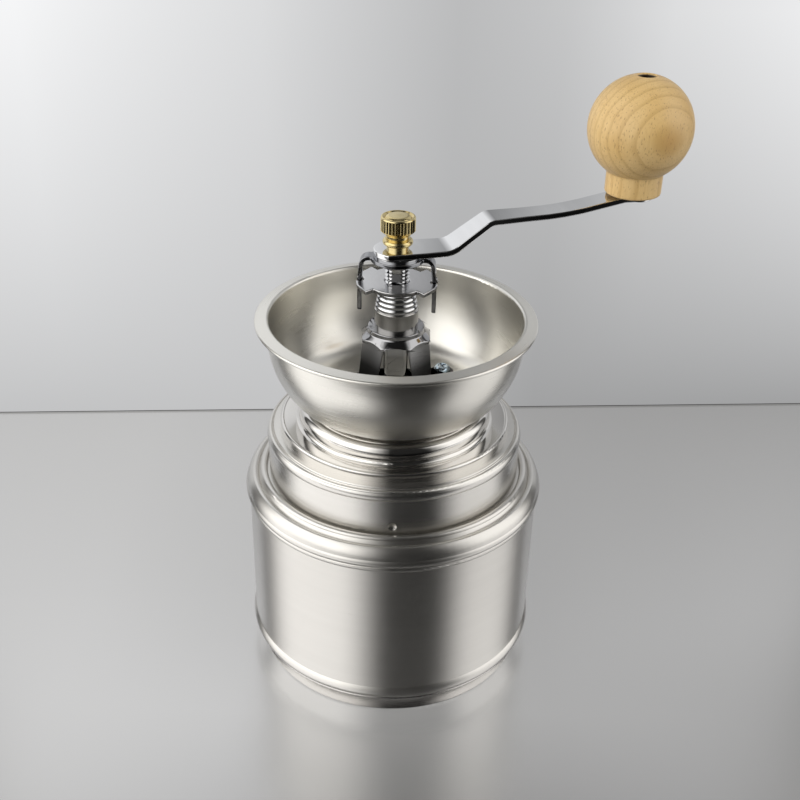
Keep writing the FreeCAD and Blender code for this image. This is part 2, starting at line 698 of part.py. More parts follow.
def neck_collar():
    """Stepped collar on the shell: foot, step, dished top, rolled bead, and the neck under the bowl."""
    gauge = cells.sheetGauge
    foot = cells.shellTop
    wall = cells.stepRadius
    step = cells.stepTop
    roll = cells.rollRadius
    height = cells.rollHeight
    crest = cells.rollTop
    neck = cells.neckRadius
    top = cells.neckTop
    collar = turned("neck_collar", [
        (cells.collarThroat, top),
        (neck - 0.7, top),
        (neck, top - 0.7, (neck - 0.2, top - 0.2)),
        (neck, crest - 0.85),
        (roll, height, (neck + 2.3, crest)),
        (roll - 0.2, height - 2.8, (roll + 0.05, height - 1.4)),
        (roll + 1.1, step - 0.8, (roll + 0.15, step - 0.35)),
        (wall - 1.1, step - 0.1),
        (wall + 0.2, step - 0.6, (wall - 0.1, step)),
        (wall, step - 1.2),
        (wall, foot),
        (wall - 2.5, foot),
        (wall - 2.5, foot + gauge),
        (wall - gauge, foot + gauge),
        (wall - gauge, step - 0.95),
        (roll + 1.2, step - 1.6),
        (roll - 0.5, step - 1.35),
        (roll - 0.9, step - 0.6),
        (roll - 0.8, height),
        (neck + 2.2, crest - gauge),
        (neck + 0.3, crest - 1.6),
        (neck - gauge, crest - 1.5),
        (neck - gauge, top - gauge),
        (cells.collarThroat, top - gauge),
    ])
    drill(collar, "collar_screw_holes", screw_hole(), cells.screwCircle, screw_azimuths())
    return collar


def screw_azimuths():
    """The two screws stand opposite each other."""
    first = cells.screwTurn.value
    return first, first + 180


def screw_hole():
    """Radius of the holes that the screws pass."""
    return cells.screwRadius + cells.screwPlay


def hopper_bowl():
    """Bean bowl: flat floor, a quick curve, a long rising wall and a flat rolled rim."""
    gauge = cells.bowlGauge
    floor = cells.neckTop
    flat = cells.bowlFloorRadius
    small = cells.bowlFloorCurve
    large = cells.bowlWallCurve
    turn = -cells.bowlCurveTurn.value
    low = (flat, floor + small)
    high = (cells.bowlRadius - large, cells.bowlCurveTop)
    rim = cells.rimHeight
    edge = cells.rimRadius
    wall = cells.bowlRadius
    outer_join = polar(high, large, turn)
    inner_join = polar(high, large - gauge, turn)
    bowl = turned("hopper_bowl", [
        (cells.throatRadius, floor),
        (flat, floor),
        (*outer_join, polar(low, small, (turn - 90) / 2)),
        (wall, cells.bowlCurveTop, polar(high, large, turn / 2)),
        (wall, rim - 1.9),
        (wall + 0.5, rim - 1.4, (wall + 0.12, rim - 1.5)),
        (edge - 0.6, rim - 1.8),
        (edge - 0.6, rim - 0.5, (edge, rim - 1.15)),
        (wall + 0.3, rim),
        (wall - gauge, rim - 1.2, (wall - 0.6, rim - 0.3)),
        (wall - gauge, cells.bowlCurveTop),
        (*inner_join, polar(high, large - gauge, turn / 2)),
        (flat, floor + gauge, polar(low, small - gauge, (turn - 90) / 2)),
        (cells.throatRadius, floor + gauge),
    ])
    drill(bowl, "bowl_screw_holes", screw_hole(), cells.screwCircle, screw_azimuths())
    return bowl


def mill_housing():
    """Bell that carries the spindle: four flat legs between windows, top ring, foot flange with two lugs."""
    gauge = cells.bellGauge
    foot = cells.neckTop + cells.bowlGauge
    flange = foot + gauge
    wide = cells.bellFootRadius
    narrow = cells.bellShoulderRadius
    shoulder = cells.bellShoulderHeight
    ring_radius = cells.bellTopRadius
    top = cells.bellTop
    bell = turned("mill_housing_blank", [
        (cells.bushShank + cells.fitGap, top),
        (ring_radius - 0.4, top),
        (ring_radius, top - 0.4, (ring_radius - 0.12, top - 0.12)),
        (ring_radius, top - 1.5),
        (narrow, shoulder),
        (wide, flange),
        (cells.bellFlangeRadius, flange),
        (cells.bellFlangeRadius, foot),
        (wide - gauge - 0.6, foot),
        (wide - gauge - 0.6, flange),
        (narrow - gauge - 0.4, shoulder - 0.6),
        (ring_radius - gauge, top - 1.9),
        (ring_radius - gauge, top - gauge),
        (cells.bushShank + cells.fitGap, top - gauge),
    ])
    side_head = shoulder - 0.2
    half_foot = cells.windowFoot
    half_head = cells.windowHead
    half_middle = (half_foot + half_head) * 0.5 + 0.5
    middle = (flange + shoulder) * 0.5 + 1.5
    window = [
        (-half_foot, flange),
        (half_foot, flange),
        (half_middle, middle),
        (half_head, side_head),
        (-half_head, side_head, (0, shoulder + 0.4)),
        (-half_middle, middle),
    ]
    through_cut(bell, "windows_front_back", window, "XZ_Plane")
    through_cut(bell, "windows_left_right", window, "YZ_Plane")
    half_lug = cells.lugWidth * 0.5
    circle = cells.screwCircle
    lug = [
        (cells.bellFootRadius, -half_lug),
        (circle, -half_lug),
        (circle, half_lug, (circle + half_lug, 0)),
        (cells.bellFootRadius, half_lug),
    ]
    for number, azimuth in enumerate(screw_azimuths(), start=1):
        plate(bell, f"lug_{number}", lug, foot, gauge, azimuth)
    drill(bell, "lug_holes", screw_hole(), circle, screw_azimuths())
    inset = math.cos(math.radians(cells.bellFlatTurn.value))
    lean = (wide.value - narrow.value) * inset / (shoulder.value - flange.value)
    tilt = Rotation(Vector(0, 1, 0), -math.degrees(math.atan(lean)))
    breadth = 14.0
    depth = 5.0
    flats = []
    for number, azimuth in enumerate((45, 135, 225, 315), start=1):
        block = doc.addObject("Part::Box", f"flat_{number}")
        block.Length = depth
        block.Width = breadth
        bind(block, Height=(shoulder - flange) + 1.5)
        spin = Rotation(Vector(0, 0, 1), azimuth)
        corner = spin.multVec(Vector(wide.value * inset, -breadth / 2, 0))
        block.Placement = Placement(corner, spin.multiply(tilt))
        raise_to(block, flange)
        flats.append(block)
    return cut("mill_housing", bell, *flats)


def housing_screws():
    """Two pan-head screws through bell, bowl, collar and outer burr."""
    foot = cells.neckTop + cells.bowlGauge + cells.bellGauge
    head = cells.screwHeadRadius
    height = cells.screwHeadHeight
    end = nut_bottom() - 0.7
    screws = []
    for number, azimuth in enumerate(screw_azimuths(), start=1):
        screw = turned(f"housing_screw_{number}", [
            (0, end),
            (cells.screwRadius - 0.3, end),
            (cells.screwRadius, end + 0.3),
            (cells.screwRadius, foot),
            (head, foot),
            (head, foot + 0.7),
            (head - 1.1, foot + height, (head - 0.3, foot + 1.6)),
            (0, foot + height),
        ])
        x, y = polar((0, 0), cells.screwCircle, azimuth)
        screw.Placement = Placement(Vector(x.value, y.value, 0), Rotation())
        screws.append(screw)
    return group("housing_screws", screws)


def ring_top():
    """Upper face of the outer burr's flange, under the collar."""
    return cells.neckTop - cells.sheetGauge


def bridge_top():
    """Upper face of the bridge's feet, under the burr's flange."""
    return ring_top() - cells.ringFlangeHeight


def washer_bottom():
    """Lower face of the lock washers."""
    return bridge_top() - cells.bridgeGauge - cells.washerGauge


def nut_bottom():
    """Lower face of the screws' nuts."""
    return washer_bottom() - cells.nutHeight


def lock_washers():
    """Two spring washers under the nuts, drawn flat as they are when tight."""
    washers = []
    for number, azimuth in enumerate(screw_azimuths(), start=1):
        washer = ring(f"lock_washer_{number}", cells.lockWasherRadius, cells.screwRadius + 0.1,
                      cells.washerGauge, washer_bottom())
        x, y = polar((0, 0), cells.screwCircle, azimuth)
        washer.Placement = Placement(Vector(x.value, y.value, 0), Rotation())
        washers.append(washer)
    return group("lock_washers", washers)


def hex_nut(name, flats, bore, height, bottom):
    """A hexagon nut on the upright axis."""
    prism = doc.addObject("Part::Prism", f"{name}_blank")
    prism.Polygon = 6
    bind(prism, Circumradius=as_size(flats) * (1 / math.sqrt(3)), Height=height)
    raise_to(prism, bottom)
    hole = cylinder(f"{name}_bore", bore, as_size(height) + 2, as_size(bottom) - 1)
    return cut(name, prism, hole)


def screw_nuts():
    """Two nuts on the housing screws."""
    nuts = []
    for number, azimuth in enumerate(screw_azimuths(), start=1):
        nut = hex_nut(f"screw_nut_{number}", cells.nutFlats, cells.screwRadius + cells.threadGap,
                      cells.nutHeight, nut_bottom())
        x, y = polar((0, 0), cells.screwCircle, azimuth)
        nut.Placement = Placement(Vector(x.value, y.value, 0), Rotation())
        nuts.append(nut)
    return group("screw_nuts", nuts)


def outer_burr():
    """Fixed burr ring: flange under the collar, body with a waisted bore, sixteen slanting grooves."""
    top = ring_top()
    under = bridge_top()
    blank = turned("outer_burr_blank", [
        (cells.ringThroat, top),
        (cells.ringFlangeRadius, top),
        (cells.ringFlangeRadius, under),
        (cells.ringBodyRadius, under),
        (cells.ringBodyRadius, cells.ringBottom + 0.5),
        (cells.ringBodyRadius - 0.5, cells.ringBottom),
        (cells.ringOutlet, cells.ringBottom),
        (cells.ringWaist, cells.ringWaistHeight),
    ])
    drill(blank, "ring_screw_holes", screw_hole(), cells.screwCircle, screw_azimuths())
    grooves = []
    count = int(cells.ringGrooves.value)
    under_cut = 0.3
    run_out = 0.8
    start_across = 1.6
    for number in range(count):
        groove = doc.addObject("Part::Box", f"ring_groove_{number + 1}")
        bind(groove, Length=cells.ringGrooveDepth + under_cut, Width=cells.ringGrooveWidth,
             Height=(top - cells.ringBottom) + 2.7)
        spin = Rotation(Vector(0, 0, 1), number * 360 / count)
        lean = Rotation(Vector(1, 0, 0), cells.ringGrooveLean.value)
        reach = cells.ringWaist.value - under_cut
        corner = spin.multVec(Vector(reach, start_across, cells.ringBottom.value - run_out))
        groove.Placement = Placement(corner, spin.multiply(lean))
        grooves.append(groove)
    return cut("outer_burr", blank, *grooves)


def inner_burr():
    """Cone on the spindle's flats, with eight slanting flutes."""
    bottom = cells.burrBottom
    top = cells.collarBottom
    wide = cells.burrRadius
    cone = turned("inner_burr_blank", [
        (0, bottom),
        (wide, bottom),
        (wide - 0.35, bottom + 1.5),
        (wide - 2.6, bottom + 6.0),
        (cells.burrTopRadius, top),
        (0, top),
    ])
    seat = flatted_bar("inner_burr_key", cells.shaftRadius + cells.fitGap, cells.burrSeatFlat + cells.fitGap,
                       (top - bottom) + 2, bottom - 1)
    flutes = []
    count = int(cells.burrFlutes.value)
    start_across = 3.4
    for number in range(count):
        flute = doc.addObject("Part::Cylinder", f"burr_flute_{number + 1}")
        bind(flute, Radius=cells.fluteRadius, Height=(top - bottom) + 13)
        spin = Rotation(Vector(0, 0, 1), number * 360 / count)
        slope = Rotation(Vector(0, 1, 0), -cells.fluteSlope.value)
        lean = Rotation(Vector(1, 0, 0), cells.fluteLean.value)
        start = spin.multVec(Vector(wide.value + 1.6, start_across, bottom.value - 2.0))
        flute.Placement = Placement(start, spin.multiply(lean).multiply(slope))
        flutes.append(flute)
    return swing(cut("inner_burr", cone, seat, *flutes), cells.bracketTurn.value)


def lower_bridge():
    """Strap across the underside: two feet on the screws and a hole for the spindle's journal."""
    leg = cells.bridgeLeg
    reach = cells.bridgeReach
    under = bridge_top() - cells.bridgeGauge
    bottom = cells.bridgeBottom
    bar = strip("lower_bridge", [
        (-reach, under),
        (-leg, under, 1.0),
        (-leg, bottom, 3.0),
        (leg, bottom, 3.0),
        (leg, under, 1.0),
        (reach, under),
    ], cells.bridgeGauge, cells.bridgeWidth)
    half = cells.bridgeWidth * 0.5
    ends = [
        (reach - half, -half),
        (reach - half, half, (reach, 0)),
        (half - reach, half),
        (half - reach, -half, (-reach, 0)),
    ]
    outline = slab("lower_bridge_plan", ends, "plan", bottom.value - 5, 40)
    strap = common("lower_bridge_strap", bar, outline)
    journal = cylinder("lower_bridge_journal", cells.journalRadius + cells.fitGap, 10, bottom - 4)
    holes = []
    for side in (-1, 1):
        hole = cylinder(f"lower_bridge_hole_{side + 2}", screw_hole(), 10, under - 4)
        hole.setExpression("Placement.Base.x", (cells.screwCircle * side).text)
        holes.append(hole)
    return swing(cut("lower_bridge", strap, journal, *holes), cells.screwTurn.value)


def top_bushing():
    """Plain bearing of the spindle: shank in the bell, steel collar on top that carries the wheel."""
    bore = cells.shaftRadius + cells.fitGap
    return turned("top_bushing", [
        (bore, cells.bushBottom),
        (cells.bushShank, cells.bushBottom),
        (cells.bushShank, cells.bellTop),
        (cells.bushRadius, cells.bellTop),
        (cells.bushRadius, cells.bushTop - 0.4),
        (cells.bushRadius - 0.4, cells.bushTop, (cells.bushRadius - 0.12, cells.bushTop - 0.12)),
        (bore, cells.bushTop),
    ])


def drive_spindle():
    """Spindle: journal, tail thread, burr seat, collar, long flatted shaft, keyed stem, threaded tip."""
    shaft = cells.shaftRadius
    bar = turned("drive_spindle_blank", [
        (0, cells.shaftBottom),
        (cells.journalRadius - 0.4, cells.shaftBottom),
        (cells.journalRadius, cells.shaftBottom + 0.4),
        (cells.journalRadius, cells.journalTop),
        (cells.tailRadius, cells.journalTop + 0.4),
        (cells.tailRadius, cells.burrBottom),
        (shaft, cells.burrBottom),
        (shaft, cells.collarBottom),
        (cells.collarRadius, cells.collarBottom),
        (cells.collarRadius, cells.collarBottom + cells.collarHeight),
        (shaft, cells.collarBottom + cells.collarHeight),
        (shaft, cells.stemBottom),
        (cells.stemRadius, cells.stemBottom),
        (cells.stemRadius, cells.tipBottom),
        (cells.tipRadius, cells.tipBottom),
        (cells.tipRadius, cells.shaftTop - 0.5),
        (cells.tipRadius - 0.5, cells.shaftTop),
        (0, cells.shaftTop),
    ])
    spans = [
        ("seat", cells.shaftFlat, cells.burrBottom, cells.collarBottom),
        ("shaft", cells.shaftFlat, cells.collarBottom + cells.collarHeight, cells.stemBottom),
        ("stem", cells.stemFlat, cells.stemBottom, cells.shaftTop),
    ]
    blocks = []
    for name, flat, low, high in spans:
        for side in (-1, 1):
            block = doc.addObject("Part::Box", f"spindle_{name}_{side + 2}")
            bind(block, Length=shaft * 4, Width=shaft * 2, Height=high - low)
            block.setExpression("Placement.Base.x", (shaft * -2).text)
            edge = flat if side > 0 else -flat - shaft * 2
            block.setExpression("Placement.Base.y", edge.text)
            raise_to(block, low)
            blocks.append(block)
    return swing(cut("drive_spindle", bar, *blocks), cells.bracketTurn.value)


def burr_washer():
    """Washer between the burr and its nut."""
    gauge = cells.burrWasherGauge
    return ring("burr_washer", cells.burrWasherRadius, cells.tailRadius + cells.fitGap, gauge,
                cells.burrBottom - gauge)


def burr_nut():
    """Nut that holds the inner burr on the spindle."""
    bottom = cells.burrBottom - cells.burrWasherGauge - cells.burrNutHeight
    return hex_nut("burr_nut", cells.burrNutFlats, cells.tailRadius + cells.threadGap,
                   cells.burrNutHeight, bottom)


def wheel_hub():
    """Threaded cone under the wheel's plate, turned in rings that narrow upward."""
    bore = cells.shaftRadius + cells.fitGap
    low = cells.bushTop
    steps = int(cells.hubSteps.value)
    rise = (cells.plateBottom.value - low.value - 1.8) / steps
    shrink = (cells.hubRadius.value - cells.hubTopRadius.value) / steps
    profile = [(bore, low)]
    for number in range(steps):
        radius = cells.hubRadius - number * shrink
        bottom = low + number * rise
        profile.append((radius - 0.25, bottom))
        profile.append((radius - 0.25, bottom + rise, (radius, bottom + rise * 0.45)))
    profile.append((cells.hubTopRadius - 0.6, cells.plateBottom - 1.6))
    profile.append((cells.hubTopRadius - 0.6, cells.plateBottom))
    profile.append((bore, cells.plateBottom))
    return turned("wheel_hub", profile)


def adjusting_wheel():
    """Stamped plate turned by the fingers: two wings, each with a slot for a tongue of the bracket."""
    wing = cells.plateWing
    slot = cells.plateSlotHalf
    inner = cells.plateSlotInner
    corner = (cells.plateCornerAcross, cells.plateCornerAlong)
    root = (cells.plateRootAcross, cells.plateRootAlong)
    flank = (wing - 0.7, root[1] * 0.63)
    right = [
        (corner[0], -corner[1]),
        (flank[0], -flank[1]),
        (wing, -slot),
        (inner + 0.7, -slot),
        (inner + 0.7, slot, (inner, 0)),
        (wing, slot),
        flank,
        corner,
        root,
    ]
    left = [
        (-root[0], root[1], (0, cells.plateRecess)),
        (-corner[0], corner[1]),
        (-flank[0], flank[1]),
        (-wing, slot),
        (-inner - 0.7, slot),
        (-inner - 0.7, -slot, (-inner, 0)),
        (-wing, -slot),
        (-flank[0], -flank[1]),
        (-corner[0], -corner[1]),
        (-root[0], -root[1]),
    ]
    front = [(root[0], -root[1], (0, -cells.plateRecess))]
    body = new_body("adjusting_wheel")
    plate(body, "wheel_plate", front + right + left, cells.plateBottom, cells.plateGauge)
    drill(body, "wheel_bore", cells.shaftRadius + cells.fitGap, 0, (0,))
    return swing(body, cells.bracketTurn.value)


def lock_bracket():
    """Bracket keyed on the stem: a disc with two tongues bent down through the wheel's slots."""
    top = cells.stemBottom + cells.bracketGauge
    band = strip("lock_bracket", [
        (-cells.tongueReach, cells.tongueBottom - 1),
        (-cells.tongueReach, cells.tongueBend, 3.0),
        (-cells.bracketHalf, top, cells.bracketBend),
        (cells.bracketHalf, top, cells.bracketBend),
        (cells.tongueReach, cells.tongueBend, 3.0),
        (cells.tongueReach, cells.tongueBottom - 1),
    ], -cells.bracketGauge, cells.bracketStock)
    half = cells.tongueWidth * 0.5
    root = cells.bracketArmWidth * 0.5
    face = [
        (half, cells.tongueBottom + half),
        (half, cells.tongueBend + 1),
        (root, cells.tongueBend + 5),
        (root, top + 1),
        (-root, top + 1),
        (-root, cells.tongueBend + 5),
        (-half, cells.tongueBend + 1),
        (-half, cells.tongueBottom + half),
    ]
    first = face[0]
    outline = [(*first, (0, cells.tongueBottom))] + face[1:]
    span = 2 * cells.tongueReach.value + 4
    trim = slab("lock_bracket_trim", outline, "side", -span / 2, span)
    tongues = common("lock_bracket_tongues", band, trim)
    disc = cylinder("lock_bracket_disc", cells.bracketDisc, cells.bracketGauge, cells.stemBottom)
    sheet_piece = fuse("lock_bracket_sheet", tongues, disc)
    key = flatted_bar("lock_bracket_key", cells.stemRadius + cells.fitGap, cells.stemFlat + cells.fitGap,
                      6, cells.stemBottom - 2)
    return swing(cut("lock_bracket", sheet_piece, key), cells.bracketTurn.value)


def crank_bottom():
    """Underside of the arm at the spindle."""
    return cells.stemBottom + cells.bracketGauge + cells.crankWasherGauge


def crank_washer():
    """Washer between bracket and arm."""
    bottom = cells.stemBottom + cells.bracketGauge
    return ring("crank_washer", cells.washerRadius, cells.stemRadius + cells.fitGap, cells.crankWasherGauge,
                bottom)


def crank_arm():
    """Strip-steel arm: wide at the spindle, bent up over the bowl, narrow and level under the knob."""
    top = crank_bottom() + cells.armGauge
    bar = strip("crank_arm", [
        (-cells.armTail - 1, top),
        (cells.armBendStart, top, 7.0),
        (cells.armBendEnd, cells.armShoulder, 6.0),
        (cells.armMiddle, cells.armMiddleHeight, 110.0),
        (cells.armEndStart, cells.armEndHeight, 6.0),
        (cells.armTip + 1, cells.armEndHeight),
    ], -cells.armGauge, cells.armStock)
    hub = cells.armHubWidth * 0.5
    slim = cells.armWidth * 0.5
    bend = cells.armBendEnd
    tip = cells.armTip
    tail = cells.armTail
    end = cells.armTipRadius
    join = tip - end - math.sqrt(end.value ** 2 - slim.value ** 2)
    plan = [
        (-tail + 3.6, -hub, (-tail, 0)),
        (8, -hub),
        (bend, -slim - 0.6),
        (bend + 12, -slim),
        (join, -slim),
        (join, slim, (tip, 0)),
        (bend + 12, slim),
        (bend, slim + 0.6),
        (8, hub),
        (-tail + 3.6, hub),
    ]
    trim = slab("crank_arm_plan", plan, "plan", crank_bottom().value - 5, 40)
    blank = common("crank_arm_blank", bar, trim)
    key = flatted_bar("crank_arm_key", cells.stemRadius + cells.fitGap, cells.stemFlat + cells.fitGap,
                      8, crank_bottom() - 3)
    key.Placement = Placement(Vector(0, 0, 0), Rotation(Vector(0, 0, 1), key_turn()))
    pin = cylinder("crank_arm_pin_hole", cells.pinRadius + cells.threadGap, 12, cells.armEndHeight - 6)
    pin.setExpression("Placement.Base.x", cells.throw.text)
    return swing(cut("crank_arm", blank, key, pin), cells.armTurn.value)


def key_turn():
    """Angle from the arm to the flats of the stem."""
    return cells.bracketTurn.value - cells.armTurn.value


def knob_place():
    """Where the knob's axis stands."""
    x, y = polar((0, 0), cells.throw, cells.armTurn.value)
    return Placement(Vector(x.value, y.value, 0), Rotation(Vector(0, 0, 1), cells.armTurn.value))


def knob_pin():
    """Pin riveted under the arm, on which the knob turns; its head sits deep in the knob."""
    top = cells.armEndHeight
    under = top - cells.armGauge
    rivet = cells.rivetRadius
    head = cells.pinHead
    head_bottom = cells.knobHoleBottom + 0.1
    pin = turned("knob_pin", [
        (0, under - cells.rivetHeight),
        (rivet - 1.6, under - cells.rivetHeight),
        (rivet, under, (rivet - 0.4, under - cells.rivetHeight * 0.6)),
        (cells.pinRadius, under),
        (cells.pinRadius, head_bottom),
        (head, head_bottom),
        (head, head_bottom + cells.pinHeadHeight - 0.6),
        (head - 0.6, head_bottom + cells.pinHeadHeight),
        (0, head_bottom + cells.pinHeadHeight),
    ])
    pin.Placement = knob_place()
    return pin


def knob():
    """Beech knob: a ball on a turned collar, bored for the pin."""
    bottom = cells.armEndHeight + 0.1
    collar = cells.knobCollar
    collar_top = cells.knobCollarTop
    ball = cells.knobRadius
    middle = cells.knobMiddle
    bore = cells.pinRadius + 0.08
    hole = cells.knobHole
    start = collar.value + 0.15
    finish = hole.value + 0.6
    start_height = middle - math.sqrt(ball.value ** 2 - start ** 2)
    finish_height = middle + math.sqrt(ball.value ** 2 - finish ** 2)
    piece = turned("knob", [
        (bore, bottom),
        (collar - 0.8, bottom),
        (collar, bottom + 0.8, (collar - 0.23, bottom + 0.23)),
        (collar, collar_top),
        (start, start_height),
        (finish, finish_height, (ball, middle)),
        (hole, finish_height - 0.7),
        (hole, cells.knobHoleBottom),
        (bore, cells.knobHoleBottom),
    ])
    piece.Placement = knob_place()
    return piece


def cap_nut():
    """Brass nut: neck, bead, waist and a ridged head with a shallow dome in its rim."""
    bottom = crank_bottom() + cells.armGauge
    head = cells.capHead
    low = cells.capHeadBottom
    top = cells.capHeadTop
    blank = turned("cap_nut_blank", [
        (cells.tipRadius + cells.fitGap, bottom),
        (cells.capNeck, bottom),
        (cells.capNeck, bottom + 1.3),
        (cells.capWaist - 0.3, bottom + 3.3, (cells.capBead, bottom + 2.3)),
        (cells.capWaist, bottom + 4.7),
        (cells.capWaist + 0.3, low - 0.5),
        (head - 0.5, low),
        (head, low + 0.5),
        (head, top - 0.5),
        (head - 0.7, top, (head - 0.18, top - 0.12)),
        (head - 1.3, top - 0.5),
        (head - 3.0, top + 0.25, (head - 2.1, top + 0.1)),
        (0, top + 0.35),
        (0, cells.capBore),
        (cells.tipRadius + cells.fitGap, cells.capBore),
    ])
    grooves = []
    count = int(cells.knurlRidges.value)
    for number in range(count):
        azimuth = number * 360 / count
        groove = doc.addObject("Part::Prism", f"cap_groove_{number + 1}")
        groove.Polygon = 4
        bind(groove, Circumradius=cells.knurlDepth + 0.15, Height=top - low - 1.2)
        x, y = polar((0, 0), head + 0.15, azimuth)
        groove.Placement = Placement(Vector(x.value, y.value, 0), Rotation(Vector(0, 0, 1), azimuth))
        raise_to(groove, low + 0.6)
        grooves.append(groove)
    return cut("cap_nut", blank, *grooves)


def main():
    """Make every piece, check the document, and write one file for each piece."""
    pieces = [
        cup_base(),
        receiver_cup(),
        upper_shell(),
        neck_collar(),
        hopper_bowl(),
        mill_housing(),
        top_bushing(),
        outer_burr(),
        lower_bridge(),
        housing_screws(),
        lock_washers(),
        screw_nuts(),
        wheel_hub(),
        adjusting_wheel(),
        drive_spindle(),
        inner_burr(),
        burr_washer(),
        burr_nut(),
        lock_bracket(),
        crank_washer(),
        crank_arm(),
        knob_pin(),
        knob(),
        cap_nut(),
    ]
    doc.recompute()
    for thing in doc.Objects:
        assert not {"Invalid", "Error"} & set(thing.State), f"{thing.Name} failed: {thing.State}"
    os.makedirs("parts", exist_ok=True)
    for piece in pieces:
        shape = piece.Shape
        assert not shape.isNull() and shape.isValid() and shape.Solids, f"{piece.Label} has no sound solid"
        shape.exportStep(f"parts/{piece.Label}.step")
        box = shape.BoundBox
        print(f"{piece.Label}: {len(shape.Solids)} solid, {shape.Volume:.1f} mm3, "
              f"z {box.ZMin:.2f} to {box.ZMax:.2f}")


main()
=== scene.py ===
# %% [markdown]
# A hand cranked coffee grinder.
# The real one is mostly thin steel: a brushed cup, polished rings, a chromed bell and crank, with a brass
# nut and a turned beech knob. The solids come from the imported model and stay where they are; this script
# gives them their finishes and makes finer copies where a rounded edge, a thread or a screw's cross shows.

# %% Load the frame
import json
import math

import bmesh
import bpy
from mathutils import Matrix, Vector


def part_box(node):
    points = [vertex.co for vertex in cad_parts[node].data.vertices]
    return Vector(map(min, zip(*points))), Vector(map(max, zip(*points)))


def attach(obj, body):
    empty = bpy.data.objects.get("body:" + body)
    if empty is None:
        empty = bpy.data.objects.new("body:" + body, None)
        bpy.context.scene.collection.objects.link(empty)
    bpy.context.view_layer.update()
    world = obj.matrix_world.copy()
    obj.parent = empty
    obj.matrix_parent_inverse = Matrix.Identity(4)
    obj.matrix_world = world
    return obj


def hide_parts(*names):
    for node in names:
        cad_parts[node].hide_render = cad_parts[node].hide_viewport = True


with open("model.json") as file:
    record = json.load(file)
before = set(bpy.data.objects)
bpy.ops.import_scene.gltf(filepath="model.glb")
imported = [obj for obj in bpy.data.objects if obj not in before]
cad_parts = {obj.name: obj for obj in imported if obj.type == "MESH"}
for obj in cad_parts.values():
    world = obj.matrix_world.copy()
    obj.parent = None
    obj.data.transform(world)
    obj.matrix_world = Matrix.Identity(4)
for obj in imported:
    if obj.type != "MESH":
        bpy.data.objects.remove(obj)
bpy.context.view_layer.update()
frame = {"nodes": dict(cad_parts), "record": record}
MM = 0.001
print("nodes:", sorted(frame["nodes"]))

# %% [markdown]
# The camera comes first. It stands a third of a metre in front of the grinder and 85 mm above its top, looks
# down at thirty degrees and leans a little, so the axis of the grinder tilts in the picture. The place and
# the angles were fitted to the round edges of cup, shell and bowl.

# %% Camera
CAMERA_PLACE = Vector((0.0, -0.3387, 0.29398))
LOOK_DOWN = math.radians(29.90)
LOOK_RIGHT = math.radians(0.315)
LEAN = math.radians(1.3)
FOCAL_PIXELS = 1116.7
PICTURE_PIXELS = 800

ahead = Vector((
    math.sin(LOOK_RIGHT) * math.cos(LOOK_DOWN),
    math.cos(LOOK_RIGHT) * math.cos(LOOK_DOWN),
    -math.sin(LOOK_DOWN),
))
level_right = Vector((math.cos(LOOK_RIGHT), -math.sin(LOOK_RIGHT), 0))
level_down = ahead.cross(level_right)
picture_right = math.cos(LEAN) * level_right - math.sin(LEAN) * level_down
picture_down = math.cos(LEAN) * level_down + math.sin(LEAN) * level_right

camera_data = bpy.data.cameras.new("camera")
camera_data.sensor_width = 36
camera_data.lens = camera_data.sensor_width * FOCAL_PIXELS / PICTURE_PIXELS
camera_data.clip_start = 0.01
camera_data.clip_end = 20
camera = bpy.data.objects.new("camera", camera_data)
turn = Matrix((picture_right, -picture_down, -ahead)).transposed()
camera.matrix_world = Matrix.Translation(CAMERA_PLACE) @ turn.to_4x4()
bpy.context.collection.objects.link(camera)
bpy.context.scene.camera = camera
print("camera lens", round(camera_data.lens, 2), "mm")

# %% [markdown]
# A material is a small graph of nodes. Three helpers keep the graphs readable: one makes a node and sets its
# plain values, one links an output to an input, and one calculates with outputs as if they were numbers.

# %% Node helpers
def add_node(tree, kind, **values):
    """A node of a kind; names of inputs are written with underscores for spaces."""
    node = tree.nodes.new(kind)
    for name, value in values.items():
        title = name.replace("_", " ")
        if title in node.inputs:
            node.inputs[title].default_value = value
        else:
            setattr(node, name, value)
    return node


def join(tree, source, target):
    """Link an output to an input."""
    tree.links.new(source, target)


def calculate(tree, operation, first, second=None, third=None):
    """A Math node; each of its inputs is a number or an output to link."""
    node = add_node(tree, "ShaderNodeMath", operation=operation)
    for slot, value in enumerate((first, second, third)):
        if value is None:
            continue
        if isinstance(value, (int, float)):
            node.inputs[slot].default_value = value
        else:
            join(tree, value, node.inputs[slot])
    return node.outputs[0]


print("helpers ready")

# %% [markdown]
# An effect that several materials share is a group: a small graph with named inputs and outputs, built once
# and placed in each of them. Most graphs begin with the place of a point on the object. A pattern made from
# it stays fixed to the piece, whichever side it is seen from.

# %% Group helpers
def start_group(name, inputs, outputs):
    """A node group: its tree, the node that holds its inputs, and the node that takes its outputs."""
    tree = bpy.data.node_groups.new(name, "ShaderNodeTree")
    for title, kind, value in inputs:
        socket = tree.interface.new_socket(name=title, in_out="INPUT", socket_type=kind)
        socket.default_value = value
    for title, kind in outputs:
        tree.interface.new_socket(name=title, in_out="OUTPUT", socket_type=kind)
    return tree, tree.nodes.new("NodeGroupInput"), tree.nodes.new("NodeGroupOutput")


def place_group(tree, group, **values):
    """A node that uses a group, with its own values."""
    node = tree.nodes.new("ShaderNodeGroup")
    node.node_tree = group
    for name, value in values.items():
        node.inputs[name.replace("_", " ")].default_value = value
    return node


def object_axes(tree):
    """A point's place on the object, as its x, y and z."""
    place = add_node(tree, "ShaderNodeTexCoord")
    axes = add_node(tree, "ShaderNodeSeparateXYZ")
    join(tree, place.outputs["Object"], axes.inputs[0])
    return axes.outputs


